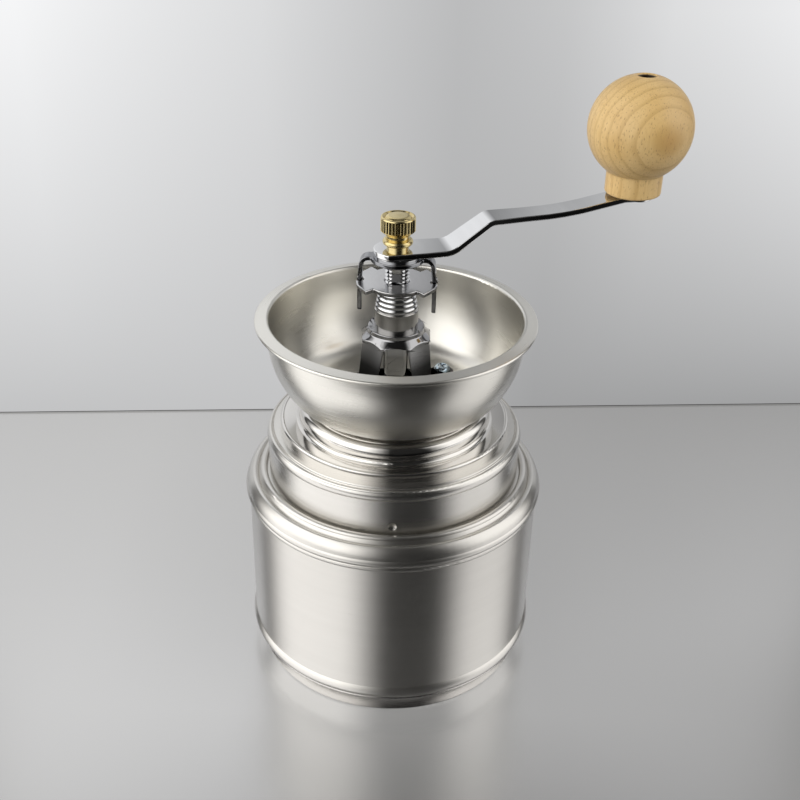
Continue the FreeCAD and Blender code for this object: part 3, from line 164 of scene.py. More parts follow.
print("group helpers ready")

# %% [markdown]
# Turned and brushed steel shows fine lines that run round the axis, because the piece spun while the
# abrasive touched it. A painted picture of lines would smear on the curves. Here the lines are noise that
# changes fast with the distance from the axis and with the height, and slowly along the way round, so one
# group serves walls, flat rings and curves alike.

# %% Group: turned lines
FLOAT = "NodeSocketFloat"
turned_lines, inside, outside = start_group(
    "turned lines",
    [("Lines per metre", FLOAT, 3000.0), ("Along", FLOAT, 25.0)],
    [("Lines", FLOAT), ("Bands", FLOAT)],
)
across, deep, tall = object_axes(turned_lines)
squares = [calculate(turned_lines, "MULTIPLY", side, side) for side in (across, deep)]
from_axis = calculate(turned_lines, "SQRT", calculate(turned_lines, "ADD", *squares))
LINES_AND_BANDS = [
    # output, share of the lines per metre, detail of the noise
    ("Lines", 1.0, 3.0),
    ("Bands", 0.06, 2.0),
]
for title, share, detail in LINES_AND_BANDS:
    pitch = calculate(turned_lines, "MULTIPLY", inside.outputs["Lines per metre"], share)
    spot = add_node(turned_lines, "ShaderNodeCombineXYZ")
    join(turned_lines, calculate(turned_lines, "MULTIPLY", from_axis, pitch), spot.inputs[0])
    join(turned_lines, calculate(turned_lines, "MULTIPLY", tall, pitch), spot.inputs[1])
    join(turned_lines, calculate(turned_lines, "MULTIPLY", across, inside.outputs["Along"]), spot.inputs[2])
    noise = add_node(turned_lines, "ShaderNodeTexNoise", noise_dimensions="4D", Scale=1.0, Detail=detail)
    join(turned_lines, spot.outputs[0], noise.inputs["Vector"])
    join(turned_lines, calculate(turned_lines, "MULTIPLY", deep, inside.outputs["Along"]), noise.inputs["W"])
    join(turned_lines, noise.outputs[0], outside.inputs[title])
print("group:", turned_lines.name)

# %% [markdown]
# Handled metal is never even. Faint cloudy smears of wiping and a few hairline scratches change how sharp
# its reflections are. Both are masks that a material adds to its roughness.

# %% Group: wiped surface
def remap(tree, value, low, high, to_low, to_high, ease="LINEAR"):
    """Move a value from one range to another, held at both ends."""
    node = add_node(tree, "ShaderNodeMapRange", interpolation_type=ease, From_Min=low, From_Max=high,
                    To_Min=to_low, To_Max=to_high)
    join(tree, value, node.inputs["Value"])
    return node.outputs["Result"]


HAIR_TURN = (0.5, 0.9, 0.3)
HAIR_STRETCH = (1.0, 0.06, 0.5)
wiped, inside, outside = start_group(
    "wiped surface",
    [("Size", FLOAT, 40.0)],
    [("Smears", FLOAT), ("Scratches", FLOAT)],
)
place = add_node(wiped, "ShaderNodeTexCoord")
cloud = add_node(wiped, "ShaderNodeTexNoise", Detail=4.0, Roughness=0.55, Distortion=0.6)
join(wiped, place.outputs["Object"], cloud.inputs["Vector"])
join(wiped, inside.outputs["Size"], cloud.inputs["Scale"])
join(wiped, remap(wiped, cloud.outputs[0], 0.35, 0.7, 0.0, 1.0), outside.inputs["Smears"])
hair = add_node(wiped, "ShaderNodeTexNoise", Scale=900.0, Detail=1.0, Distortion=1.5)
squeeze = add_node(wiped, "ShaderNodeMapping")
squeeze.inputs["Rotation"].default_value = HAIR_TURN
squeeze.inputs["Scale"].default_value = HAIR_STRETCH
join(wiped, place.outputs["Object"], squeeze.inputs["Vector"])
join(wiped, squeeze.outputs[0], hair.inputs["Vector"])
join(wiped, remap(wiped, hair.outputs[0], 0.66, 0.72, 0.0, 1.0), outside.inputs["Scratches"])
print("group:", wiped.name)

# %% [markdown]
# One recipe makes every bare metal of the grinder. Metal is a coloured mirror, so its look is nearly all
# roughness: lines and smears move it up and down, and a very shallow bump of the same lines breaks the
# reflection in the direction across them. Long brushing also stretches highlights across its lines; that is
# the shader's anisotropy, turned a quarter so that it follows a tangent that runs round the axis.

# %% Metal recipe
QUARTER_TURN = 0.25


def mix_colours(tree, factor, first, second):
    """Mix two colours; each is a colour or an output to link."""
    node = tree.nodes.new("ShaderNodeMix")
    node.data_type = "RGBA"
    join(tree, factor, node.inputs["Factor"])
    for title, colour in (("A", first), ("B", second)):
        sockets = [s for s in node.inputs if s.name == title and s.type == "RGBA"]
        if isinstance(colour, tuple):
            sockets[0].default_value = (*colour, 1)
        else:
            join(tree, colour, sockets[0])
    return [s for s in node.outputs if s.type == "RGBA"][0]


def start_material(name):
    """An empty node material: its tree and its Principled shader."""
    material = bpy.data.materials.new(name)
    material.use_nodes = True
    tree = material.node_tree
    shader = tree.nodes["Principled BSDF"]
    return material, tree, shader


def make_metal(name, colour, darker, roughness, spread, lines=6000.0, along=6.0, bump=0.0, stretch=0.0,
               smear=0.05, scratch=0.0):
    """Metal whose roughness varies by spread with its turned lines, and by smear where it was wiped."""
    material, tree, shader = start_material(name)
    turning = place_group(tree, turned_lines, Lines_per_metre=lines, Along=along)
    wiping = place_group(tree, wiped)
    tone = mix_colours(tree, remap(tree, turning.outputs["Bands"], 0.3, 0.7, 0.0, 1.0), colour, darker)
    join(tree, tone, shader.inputs["Base Color"])
    shader.inputs["Metallic"].default_value = 1.0
    fine = remap(tree, turning.outputs["Lines"], 0.25, 0.75, roughness - spread, roughness + spread)
    cloudy = calculate(tree, "MULTIPLY", wiping.outputs["Smears"], smear)
    hairs = calculate(tree, "MULTIPLY", wiping.outputs["Scratches"], scratch)
    uneven = calculate(tree, "ADD", cloudy, hairs)
    join(tree, calculate(tree, "ADD", fine, uneven), shader.inputs["Roughness"])
    if stretch:
        around = add_node(tree, "ShaderNodeTangent", direction_type="RADIAL", axis="Z")
        join(tree, around.outputs[0], shader.inputs["Tangent"])
        shader.inputs["Anisotropic"].default_value = stretch
        shader.inputs["Anisotropic Rotation"].default_value = QUARTER_TURN
    if bump:
        relief = add_node(tree, "ShaderNodeBump", Strength=1.0, Distance=bump)
        join(tree, turning.outputs["Lines"], relief.inputs["Height"])
        join(tree, relief.outputs[0], shader.inputs["Normal"])
    return material


print("recipe ready")

# %% [markdown]
# The metals differ in tone and in how they were worked. Cup and bowl are brushed, so they are rougher and
# stretch their highlights. The rings are polished, the shell is satin. Chrome and nickel plate is nearly a
# sharp mirror. The nickel of bell and bracket has a darker tone than plating: painted shade for the dark
# that both mirror, darkest on the bracket. The burrs are ground, and the screws carry blue zinc that is
# paler in places.

# %% Metals
brushed_steel = make_metal("brushed_steel", (0.71, 0.695, 0.665), (0.69, 0.675, 0.645), 0.29, 0.02,
                           bump=0.0000006, stretch=0.6, smear=0.02)
bowl_steel = make_metal("bowl_steel", (0.79, 0.775, 0.73), (0.77, 0.755, 0.71), 0.28, 0.02,
                        lines=4500, bump=0.0000003, stretch=0.40, smear=0.02)
polished_steel = make_metal("polished_steel", (0.73, 0.715, 0.69), (0.71, 0.695, 0.67), 0.09, 0.01,
                            stretch=0.3, smear=0.02)
satin_steel = make_metal("satin_steel", (0.73, 0.715, 0.685), (0.71, 0.695, 0.665), 0.24, 0.01,
                         stretch=0.4, smear=0.02)
chrome = make_metal("chrome", (0.80, 0.805, 0.815), (0.76, 0.765, 0.775), 0.045, 0.01, smear=0.02,
                    scratch=0.06)
# Both nickel tones are darker than real plating, a painted shade for the dark that bell and bracket mirror.
nickel = make_metal("nickel", (0.40, 0.40, 0.41), (0.37, 0.37, 0.38), 0.06, 0.01, smear=0.03, scratch=0.06)
nickel_with_painted_shade = make_metal("nickel_with_painted_shade", (0.28, 0.285, 0.30), (0.25, 0.255, 0.27), 0.06, 0.01, smear=0.03)
stamped_steel = make_metal("stamped_steel", (0.64, 0.64, 0.65), (0.60, 0.60, 0.61), 0.17, 0.02, smear=0.03)
plain_steel = make_metal("plain_steel", (0.58, 0.57, 0.55), (0.52, 0.51, 0.495), 0.15, 0.03, lines=8000,
                         bump=0.000001, stretch=0.3)
burr_steel = make_metal("burr_steel", (0.30, 0.295, 0.29), (0.22, 0.215, 0.21), 0.42, 0.08, lines=5000,
                        along=25, bump=0.00001)
zinc_plate = make_metal("zinc_plate", (0.40, 0.53, 0.66), (0.60, 0.66, 0.68), 0.14, 0.04, lines=9000,
                        along=900, smear=0.06)
brass = make_metal("brass", (0.76, 0.65, 0.36), (0.66, 0.53, 0.25), 0.19, 0.03,
                   bump=0.000002, smear=0.04)
print("metals:", [metal.name for metal in bpy.data.materials if metal.use_nodes])

# %% [markdown]
# The bell stands deep in the bowl and turns dark toward its foot, in the bowl's own shade. A mask by
# height mixes a painted shade, near black, into its colour.

# %% Painted shade at the foot of the bell
NEAR_BLACK = (0.03, 0.03, 0.03)
PAINTED_SHADE_FULL_UP_TO = 0.55
PAINTED_SHADE_CLEAR_FROM = 0.8
FOOT_PAINTED_SHADE = 0.90
bell_low, bell_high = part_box("mill_housing")
bell_tall = bell_high[2] - bell_low[2]
tree = nickel.node_tree
shader = tree.nodes["Principled BSDF"]
# Painted shade: near black is mixed in toward the foot of the bell.
foot_painted_shade = remap(tree, object_axes(tree)[2], bell_low[2] + PAINTED_SHADE_FULL_UP_TO * bell_tall,
                   bell_low[2] + PAINTED_SHADE_CLEAR_FROM * bell_tall, FOOT_PAINTED_SHADE, 0.0)
plated = shader.inputs["Base Color"].links[0].from_socket
join(tree, mix_colours(tree, foot_painted_shade, plated, NEAR_BLACK), shader.inputs["Base Color"])
print("bell:", round(bell_tall / MM, 1), "mm tall")

# %% [markdown]
# The knob is beech, turned with the grain running up its axis. Growth rings stand as upright sheets, so on
# the ball they show as ovals round the spot that faces the sheets, on the right in front. Each ring is a
# distance from the heart of the trunk, far behind the knob, and a slow noise keeps it from being perfect.

# %% Group: beech, its place and its rings
COLOUR = "NodeSocketColor"
VECTOR = "NodeSocketVector"
BALL_RADIUS = 0.0171
RING_FACING = math.radians(-67)
RING_SIDE = (math.cos(RING_FACING), math.sin(RING_FACING))
HEART_DISTANCE = 0.0565
RING_HEIGHT_SHARE = 0.10
RING_DRIFT = 0.0024
LATE_WOOD_FROM = 0.62
LATE_WOOD_PEAK = 0.95


def vector_step(tree, operation, first, second=None):
    """A Vector Math node; its second input is a fixed vector or an output to link."""
    node = add_node(tree, "ShaderNodeVectorMath", operation=operation)
    join(tree, first, node.inputs[0])
    if isinstance(second, tuple):
        node.inputs[1].default_value = second
    elif second is not None:
        join(tree, second, node.inputs[1])
    return node.outputs["Value" if operation in ("LENGTH", "DISTANCE") else "Vector"]


def noise_at(tree, where, scale, detail):
    """Plain noise at a place."""
    node = add_node(tree, "ShaderNodeTexNoise", Scale=scale, Detail=detail)
    join(tree, where, node.inputs["Vector"])
    return node.outputs[0]


beech_grain, inside, outside = start_group(
    "beech grain",
    [("Centre", VECTOR, (0.0, 0.0, 0.0)), ("Ring spacing", FLOAT, 0.00295)],
    [("Colour", COLOUR), ("Height", FLOAT), ("Roughness", FLOAT)],
)
place = add_node(beech_grain, "ShaderNodeTexCoord")
local = vector_step(beech_grain, "SUBTRACT", place.outputs["Object"], inside.outputs["Centre"])
heart = (-HEART_DISTANCE * RING_SIDE[0], -HEART_DISTANCE * RING_SIDE[1], 0.0)
upright = vector_step(beech_grain, "MULTIPLY", vector_step(beech_grain, "SUBTRACT", local, heart),
                      (1.0, 1.0, RING_HEIGHT_SHARE))
drift = noise_at(beech_grain, local, scale=55.0, detail=2.0)
sway = calculate(beech_grain, "MULTIPLY", calculate(beech_grain, "SUBTRACT", drift, 0.5), RING_DRIFT)
grown = calculate(beech_grain, "ADD", vector_step(beech_grain, "LENGTH", upright), sway)
season = calculate(beech_grain, "FRACT",
                   calculate(beech_grain, "DIVIDE", grown, inside.outputs["Ring spacing"]))
late_wood = calculate(beech_grain, "MULTIPLY",
                      remap(beech_grain, season, LATE_WOOD_FROM, LATE_WOOD_PEAK, 0.0, 1.0),
                      remap(beech_grain, season, LATE_WOOD_PEAK, 1.0, 1.0, 0.0))
print("group:", beech_grain.name, "with rings")

# %% [markdown]
# Wood is stretched along its grain. The same kind of noise makes the fine fibres and the short dark dashes
# that are the rays of beech. What tells them apart is how far it is drawn out along the axis and how sharply
# it is cut. The dashes lie deeper than the fibres, and that relief is the height.

# %% Beech fibres and dashes
FIBRE_STRETCH = (1.0, 1.0, 0.07)
DASH_STRETCH = (1.0, 1.0, 0.24)
DASH_CUT = (0.63, 0.70)
fibre = noise_at(beech_grain, vector_step(beech_grain, "MULTIPLY", local, FIBRE_STRETCH),
                 scale=2600.0, detail=3.0)
dash = noise_at(beech_grain, vector_step(beech_grain, "MULTIPLY", local, DASH_STRETCH),
                scale=2700.0, detail=1.0)
dashes = remap(beech_grain, dash, *DASH_CUT, 0.0, 1.0)
open_grain = calculate(beech_grain, "SUBTRACT", calculate(beech_grain, "MULTIPLY", fibre, 0.5), dashes)
join(beech_grain, open_grain, outside.inputs["Height"])
join(beech_grain, remap(beech_grain, fibre, 0.3, 0.7, 0.42, 0.55), outside.inputs["Roughness"])
print("fibres and dashes joined")

# %% [markdown]
# The colour is laid on in layers, each mixed in by its own mask: a patchy base, fibres, late wood, a brown
# cloud on the spot that the rings go round, the dashes, and a painted shade in the bore on top of the knob.

# %% Beech colours
BROWN_SPOT = (BALL_RADIUS * RING_SIDE[0], BALL_RADIUS * RING_SIDE[1], 0.0)
BROWN_REACH = (0.0035, 0.0095)
BORE_EDGE = (0.00275, 0.0031)
patch = noise_at(beech_grain, local, scale=60.0, detail=2.0)
base = mix_colours(beech_grain, remap(beech_grain, patch, 0.3, 0.7, 0.0, 1.0),
                   (0.73, 0.52, 0.235), (0.64, 0.42, 0.155))
fibrous = mix_colours(beech_grain, remap(beech_grain, fibre, 0.35, 0.65, 0.0, 0.25), base, (0.55, 0.33, 0.12))
ringed = mix_colours(beech_grain, calculate(beech_grain, "MULTIPLY", late_wood, 0.5), fibrous,
                     (0.46, 0.27, 0.08))
from_spot = vector_step(beech_grain, "DISTANCE", local, BROWN_SPOT)
clouded = calculate(beech_grain, "ADD", from_spot, calculate(beech_grain, "MULTIPLY", patch, 0.006))
browned = mix_colours(beech_grain, remap(beech_grain, clouded, *BROWN_REACH, 0.35, 0.0), ringed,
                      (0.50, 0.26, 0.06))
flecked = mix_colours(beech_grain, calculate(beech_grain, "MULTIPLY", dashes, 0.6), browned,
                      (0.30, 0.15, 0.05))
off_axis = vector_step(beech_grain, "LENGTH", vector_step(beech_grain, "MULTIPLY", local, (1.0, 1.0, 0.0)))
# Painted shade in the bore: near black inside its edge.
bore_painted_shade = remap(beech_grain, off_axis, *BORE_EDGE, 1.0, 0.0)
join(beech_grain, mix_colours(beech_grain, bore_painted_shade, flecked, (0.015, 0.008, 0.004)), outside.inputs["Colour"])
print("colours joined")

# %% [markdown]
# The beech material places the group round the middle of the ball. The hole on top cuts off the ball's crown,
# so its middle is found from its radius. The wood is waxed: a thin, soft coat over an open grain, which shows
# as a shallow bump.

# %% Beech
LOST_CROWN = 0.0004
GRAIN_DEPTH = 0.00004
knob_low, knob_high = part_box("knob")
knob_middle = (Vector(knob_low) + Vector(knob_high)) / 2
knob_middle.z = knob_high[2] - BALL_RADIUS + LOST_CROWN
beech, tree, shader = start_material("beech")
grain = place_group(tree, beech_grain, Centre=tuple(knob_middle))
join(tree, grain.outputs["Colour"], shader.inputs["Base Color"])
join(tree, grain.outputs["Roughness"], shader.inputs["Roughness"])
relief = add_node(tree, "ShaderNodeBump", Strength=1.0, Distance=GRAIN_DEPTH)
join(tree, grain.outputs["Height"], relief.inputs["Height"])
join(tree, relief.outputs[0], shader.inputs["Normal"])
shader.inputs["Coat Weight"].default_value = 0.3
shader.inputs["Coat Roughness"].default_value = 0.32
print("material:", beech.name, "round", tuple(round(v, 4) for v in knob_middle))

# %% [markdown]
# The photograph shows one satin metal sheet as table and wall. A plain diffuse floor would fill every
# upright steel wall with one pale tone, because those walls mirror the table. A satin floor mirrors the
# studio instead: bright left and right, dark where the camera stands.

# %% Sheets of the stage
PALE = (0.82, 0.82, 0.83)


def satin_sheet(name, colour, metallic, roughness):
    """A material for a sheet, satin and partly a mirror: it, its tree and its shader."""
    material, tree, shader = start_material(name)
    shader.inputs["Base Color"].default_value = (*colour, 1)
    shader.inputs["Metallic"].default_value = metallic
    shader.inputs["Roughness"].default_value = roughness
    return material, tree, shader


def sheet_of(name, corners, material):
    """A flat sheet of the stage."""
    mesh = bpy.data.meshes.new(name)
    mesh.from_pydata(corners, [], [tuple(range(len(corners)))])
    sheet = bpy.data.objects.new(name, mesh)
    sheet.data.materials.append(material)
    bpy.context.collection.objects.link(sheet)
    return sheet


print("pale sheets:", PALE)

# %% [markdown]
# The wall has a glowing tone of its own for the camera and for mirrors, with painted light and shade:
# painted pools of light from the two soft lights make it paler toward both upper corners, and painted shade
# of the grinder makes it darkest at its foot on the right. Light Path tells which kind of ray asks. Above the
# picture's upper edge mirrors see another tone, a painted reflection: the bright and dark that the crank arm
# shows on its flat top. From behind the wall is clear.

# %% Wall
WALL_SHOWN = (-0.165, 0.215)
CLIMB_TOP = 0.2
FOOT_TONES_WITH_PAINTED_SHADE = (0.55, 0.36)
HEAD_PAINTED_LIGHTS = (0.08, 0.27)
CORNER_PAINTED_LIGHT = 0.30
PAINTED_REFLECTION_TONES = (0.95, 0.30)
PICTURE_TOP = (0.173, 0.187)


def mix_shaders(tree, factor, first, second):
    """Mix two shaders by an output."""
    node = tree.nodes.new("ShaderNodeMixShader")
    for source, target in zip((factor, first, second), node.inputs):
        join(tree, source, target)
    return node.outputs[0]


wall_sheet, tree, shader = satin_sheet("wall_sheet", PALE, 0.25, 0.36)
sideways, _, height = object_axes(tree)
across = remap(tree, sideways, *WALL_SHOWN, -1.0, 1.0)
climb = remap(tree, height, 0.0, CLIMB_TOP, 0.0, 1.0)
# Painted shade of the grinder darkens the foot toward the right; painted light pools brighten the upper
# corners.
foot_tone_with_painted_shade = remap(tree, across, -0.45, 0.25, *FOOT_TONES_WITH_PAINTED_SHADE)
outward = calculate(tree, "POWER", calculate(tree, "ABSOLUTE", across), 1.5)
right_painted_light = remap(tree, across, 0.0, 0.5, *HEAD_PAINTED_LIGHTS)
painted_light_pools = calculate(tree, "ADD", calculate(tree, "MULTIPLY", outward, CORNER_PAINTED_LIGHT), right_painted_light)
seen_tone = calculate(tree, "MULTIPLY_ADD", climb, painted_light_pools, foot_tone_with_painted_shade)
# Painted reflection for mirrors above the picture: the bright and dark of the crank arm's flat top.
painted_reflection_tone = calculate(tree, "ADD", remap(tree, sideways, -0.03, 0.03, *PAINTED_REFLECTION_TONES),
                      remap(tree, sideways, 0.04, 0.08, 0.0, 0.30))
ray = add_node(tree, "ShaderNodeLightPath")
mirrored = calculate(tree, "MAXIMUM", ray.outputs["Is Glossy Ray"], ray.outputs["Is Transmission Ray"])
above = calculate(tree, "MULTIPLY", mirrored, remap(tree, height, *PICTURE_TOP, 0.0, 1.0))
below = calculate(tree, "SUBTRACT", 1.0, above)
tone = calculate(tree, "MULTIPLY_ADD", above, painted_reflection_tone, calculate(tree, "MULTIPLY", below, seen_tone))
glow = add_node(tree, "ShaderNodeEmission", Color=(0.985, 0.99, 1.0, 1.0))
join(tree, tone, glow.inputs["Strength"])
shows_tone = calculate(tree, "MAXIMUM", ray.outputs["Is Camera Ray"], mirrored)
toned = mix_shaders(tree, shows_tone, shader.outputs[0], glow.outputs[0])
clear = add_node(tree, "ShaderNodeBsdfTransparent")
facing = add_node(tree, "ShaderNodeNewGeometry")
one_sided = mix_shaders(tree, facing.outputs["Backfacing"], toned, clear.outputs[0])
join(tree, one_sided, tree.nodes["Material Output"].inputs["Surface"])
print("material:", wall_sheet.name)

# %% [markdown]
# The floor keeps the grinder's shadow and mirrors the studio. For mirrors it is painted dark past the table's
# front edge, where the real table ends. For the camera a glowing tone of its own, a painted light, takes the
# place of half the mirror, so that the floor doesn't clip to white: darker on the right, with a painted dark
# reflection in front of the cup. Its colour also carries painted shade, darker toward the front and on the
# right. Outside the photograph's view it fades to one plain tone, because a satin metal floor would glare
# there.

# %% Floor
CAMERA_DIMMING = 0.55
OUTER_TONE = 0.50
VIEW_WIDENING = 0.256
VIEW_EDGE = (0.165, 0.30)
VIEW_FRONT = (-0.30, -0.11)
TABLE_FRONT = (-0.24, -0.18)
FLOOR_METALLIC = 0.93
FLOOR_ROUGHNESS = 0.27
MIRRORED_ROUGHNESS = 0.20
NEARER_PAINTED_SHADE = (0.75, 0.75, 0.76)
RIGHT_SHADE = 0.12
PAINTED_GLOW_TONES = (0.31, 0.21)
FRONT_PAINTED_DARK = -0.20
floor_sheet, tree, shader = satin_sheet("floor_sheet", PALE, FLOOR_METALLIC, FLOOR_ROUGHNESS)
rightward, backward, _ = object_axes(tree)
sideways = calculate(tree, "ABSOLUTE", rightward)
ray = add_node(tree, "ShaderNodeLightPath")
by_camera = ray.outputs["Is Camera Ray"]
by_mirror = ray.outputs["Is Glossy Ray"]
# Painted shade: the floor's colour darkens toward the front.
nearness = remap(tree, backward, -0.12, 0.12, 1.0, 0.0)
pale = mix_colours(tree, nearness, PALE, NEARER_PAINTED_SHADE)
# Painted shade on the right of the floor.
pale = mix_colours(tree, remap(tree, rightward, 0.03, 0.12, 0.0, RIGHT_SHADE), pale, (0.0, 0.0, 0.0))
# For mirrors: painted darkness past the table's front edge.
painted_dark_past_edge = remap(tree, backward, *TABLE_FRONT, 1.0, 0.0)
darkened = calculate(tree, "MAXIMUM", calculate(tree, "MULTIPLY", painted_dark_past_edge, by_mirror),
                     calculate(tree, "MULTIPLY", by_camera, CAMERA_DIMMING))
join(tree, mix_colours(tree, darkened, pale, NEAR_BLACK), shader.inputs["Base Color"])
join(tree, remap(tree, by_mirror, 0.0, 1.0, FLOOR_ROUGHNESS, MIRRORED_ROUGHNESS), shader.inputs["Roughness"])
join(tree, remap(tree, by_mirror, 0.0, 1.0, FLOOR_METALLIC, 1.0), shader.inputs["Metallic"])
# The camera's own glow is painted light, paler on the left, with a painted dark reflection in front of the
# cup.
painted_dark_in_front = remap(tree, backward, -0.13, -0.05, FRONT_PAINTED_DARK, 0.0)
in_middle = remap(tree, sideways, 0.02, 0.13, 1.0, 0.0)
painted_glow = calculate(tree, "MULTIPLY_ADD", painted_dark_in_front, in_middle,
                     remap(tree, rightward, -0.12, 0.06, *PAINTED_GLOW_TONES))
join(tree, calculate(tree, "MULTIPLY", painted_glow, by_camera), shader.inputs["Emission Strength"])
shader.inputs["Emission Color"].default_value = (1.0, 0.99, 0.97, 1)
narrowed = calculate(tree, "MULTIPLY_ADD", backward, -VIEW_WIDENING, sideways)
outer = calculate(tree, "MAXIMUM", remap(tree, narrowed, *VIEW_EDGE, 0.0, 1.0, "SMOOTHSTEP"),
                  remap(tree, backward, *VIEW_FRONT, 1.0, 0.0, "SMOOTHSTEP"))
plain = add_node(tree, "ShaderNodeEmission", Color=(1.0, 0.99, 0.98, 1.0), Strength=OUTER_TONE)
faded = mix_shaders(tree, calculate(tree, "MULTIPLY", outer, by_camera), shader.outputs[0],
                    plain.outputs[0])
join(tree, faded, tree.nodes["Material Output"].inputs["Surface"])
print("material:", floor_sheet.name)

# %% [markdown]
# Where the two sheets meet, the photograph shows a thin dark line. The wall stops just above the floor, and a
# low dark strip behind it shows in the gap. Wall and strip are turned a little, as in the photograph.

# %% Place the stage
STAGE_REACH = 1.2
FLOOR_HEIGHT = -0.0001
WALL_PLACE = 0.1635
WALL_TURN = math.radians(3.5)
WALL_HALF = 0.26
WALL_TOP = 0.42
SEAM_HEIGHT = 0.0006
SEAM_BEHIND = 0.0004
SEAM_TOP = SEAM_HEIGHT * 1.2
# The seam strip is a painted shadow: a near black sheet in the gap between wall and floor.
seam_shadow, _, _ = satin_sheet("seam_shadow", NEAR_BLACK, 0.0, 0.8)
floor = sheet_of("floor", [(side * STAGE_REACH, depth * STAGE_REACH, FLOOR_HEIGHT)
                           for side, depth in ((-1, -1), (1, -1), (1, 1), (-1, 1))], floor_sheet)


def standing_corners(half, depth, low, high):
    """The corners of an upright sheet that faces the front."""
    return [(-half, depth, low), (half, depth, low), (half, depth, high), (-half, depth, high)]


wall = sheet_of("wall", standing_corners(WALL_HALF, 0, SEAM_HEIGHT, WALL_TOP), wall_sheet)
seam = sheet_of("seam", standing_corners(STAGE_REACH, SEAM_BEHIND, 0, SEAM_TOP), seam_shadow)
for standing in (wall, seam):
    standing.matrix_world = Matrix.Translation((0, WALL_PLACE, 0)) @ Matrix.Rotation(WALL_TURN, 4, "Z")
print("stage:", floor.name, wall.name, seam.name)

# %% [markdown]
# Two big soft lights stand left and right of the camera, the left one larger. Chrome and steel show them as
# bright fields with a dark gap between, which is what makes the metal read as metal. The sky of the scene
# draws both lights, so the light is soft and even and has no hard shadow. Right above and behind the wall it
# is faintly lit as well, and the camera itself sees a plain pale sky.

# %% World
FIELD_FOOT = (-0.22, -0.1)
FIELD_TOP = (0.80, 0.88)
CAMERA_SKY = 0.72
world = bpy.data.worlds.new("studio")
bpy.context.scene.world = world
world.use_nodes = True
sky = world.node_tree
backdrop = sky.nodes["Background"]
aim = add_node(sky, "ShaderNodeTexCoord")
parts = add_node(sky, "ShaderNodeSeparateXYZ")
join(sky, aim.outputs["Generated"], parts.inputs[0])
east, north, high = parts.outputs
bearing = calculate(sky, "ARCTAN2", east, calculate(sky, "MULTIPLY", north, -1.0))


def soft_field(dark_left, full_left, full_right, dark_right, brightness):
    """A bright field of the sky; its four bearings in degrees say where it begins, is full and ends."""
    rising = remap(sky, bearing, math.radians(dark_left), math.radians(full_left), 0.0, 1.0, "SMOOTHSTEP")
    falling = remap(sky, bearing, math.radians(full_right), math.radians(dark_right), 1.0, 0.0, "SMOOTHSTEP")
    under = remap(sky, high, *FIELD_FOOT, 0.0, 1.0)
    over = remap(sky, high, *FIELD_TOP, 1.0, 0.0)
    return calculate(sky, "MULTIPLY", calculate(sky, "MULTIPLY", rising, falling),
                     calculate(sky, "MULTIPLY", calculate(sky, "MULTIPLY", under, over), brightness))


left_light = soft_field(-120, -94, -42, -2, brightness=1.75)
right_light = soft_field(36, 70, 102, 124, brightness=1.35)
overhead = remap(sky, high, 0.92, 0.98, 0.02, 0.2, "SMOOTHSTEP")
behind = remap(sky, north, -0.1, 0.6, 0.0, 0.08)
total = calculate(sky, "ADD", calculate(sky, "ADD", left_light, right_light),
                  calculate(sky, "ADD", overhead, behind))
by_camera = add_node(sky, "ShaderNodeLightPath").outputs["Is Camera Ray"]
for_camera = calculate(sky, "MULTIPLY", by_camera, CAMERA_SKY)
for_others = calculate(sky, "MULTIPLY", total, calculate(sky, "SUBTRACT", 1.0, by_camera))
join(sky, calculate(sky, "ADD", for_camera, for_others), backdrop.inputs["Strength"])
backdrop.inputs["Color"].default_value = (1.0, 0.985, 0.96, 1)
bpy.context.scene.view_settings.view_transform = "Standard"
print("world:", world.name)

# %% [markdown]
# Wood scatters light and steel mirrors it, so each needs its own. Two lamps aim at the knob, the stronger
# one from the left in front, and give the ball its round shading. Mirrors don't show them: the steel in the
# photograph shows wide soft fields only.

# %% Lamps for the knob
def unmirrored_lamp(name, place, side, power):
    """A square soft lamp that points at the knob; no mirror shows it."""
    data = bpy.data.lights.new(name, "AREA")
    data.size = side
    data.energy = power
    light = bpy.data.objects.new(name, data)
    direction = knob_middle - Vector(place)
    light.matrix_world = Matrix.Translation(place) @ direction.to_track_quat("-Z", "Y").to_matrix().to_4x4()
    bpy.context.collection.objects.link(light)
    light.visible_glossy = False
    return light


left_lamp = unmirrored_lamp("left_lamp", (-0.35, -0.40, 0.55), side=0.40, power=1.55)
right_lamp = unmirrored_lamp("right_lamp", (0.50, -0.15, 0.40), side=0.30, power=0.75)
print("lamps:", left_lamp.name, right_lamp.name)

# %% [markdown]
# Pressed and turned solids of the model already have the right shapes, so each takes its finish by name. The
# six that get a finer copy further on take one too, so that no solid stays bare.

# %% Finishes of the solids
FINISHES = {
    "cup_base": polished_steel,
    "receiver_cup": brushed_steel,
    "upper_shell": satin_steel,
    "neck_collar": polished_steel,
    "hopper_bowl": bowl_steel,
    "mill_housing": nickel,
    "top_bushing": plain_steel,
    "outer_burr": burr_steel,
    "lower_bridge": plain_steel,
    "housing_screws": zinc_plate,
    "lock_washers": zinc_plate,
    "screw_nuts": zinc_plate,
    "wheel_hub": chrome,
    "adjusting_wheel": stamped_steel,
    "drive_spindle": chrome,
    "inner_burr": burr_steel,
    "burr_washer": zinc_plate,
    "burr_nut": zinc_plate,
    "lock_bracket": nickel_with_painted_shade,
    "crank_washer": chrome,
    "crank_arm": chrome,
    "knob_pin": zinc_plate,
    "knob": beech,
    "cap_nut": brass,
}
for node, finish in FINISHES.items():
    for slot in frame["nodes"][node].material_slots:
        slot.material = finish
print("finished", len(FINISHES), "pieces")

# %% [markdown]
# Six pieces show more on the real grinder than their solids do. Each gets a finer copy that takes the solid's
# place: it rides on the same body and takes the finish, and the solid is hidden.

# %% Finer copies
SHARP = math.radians(32)


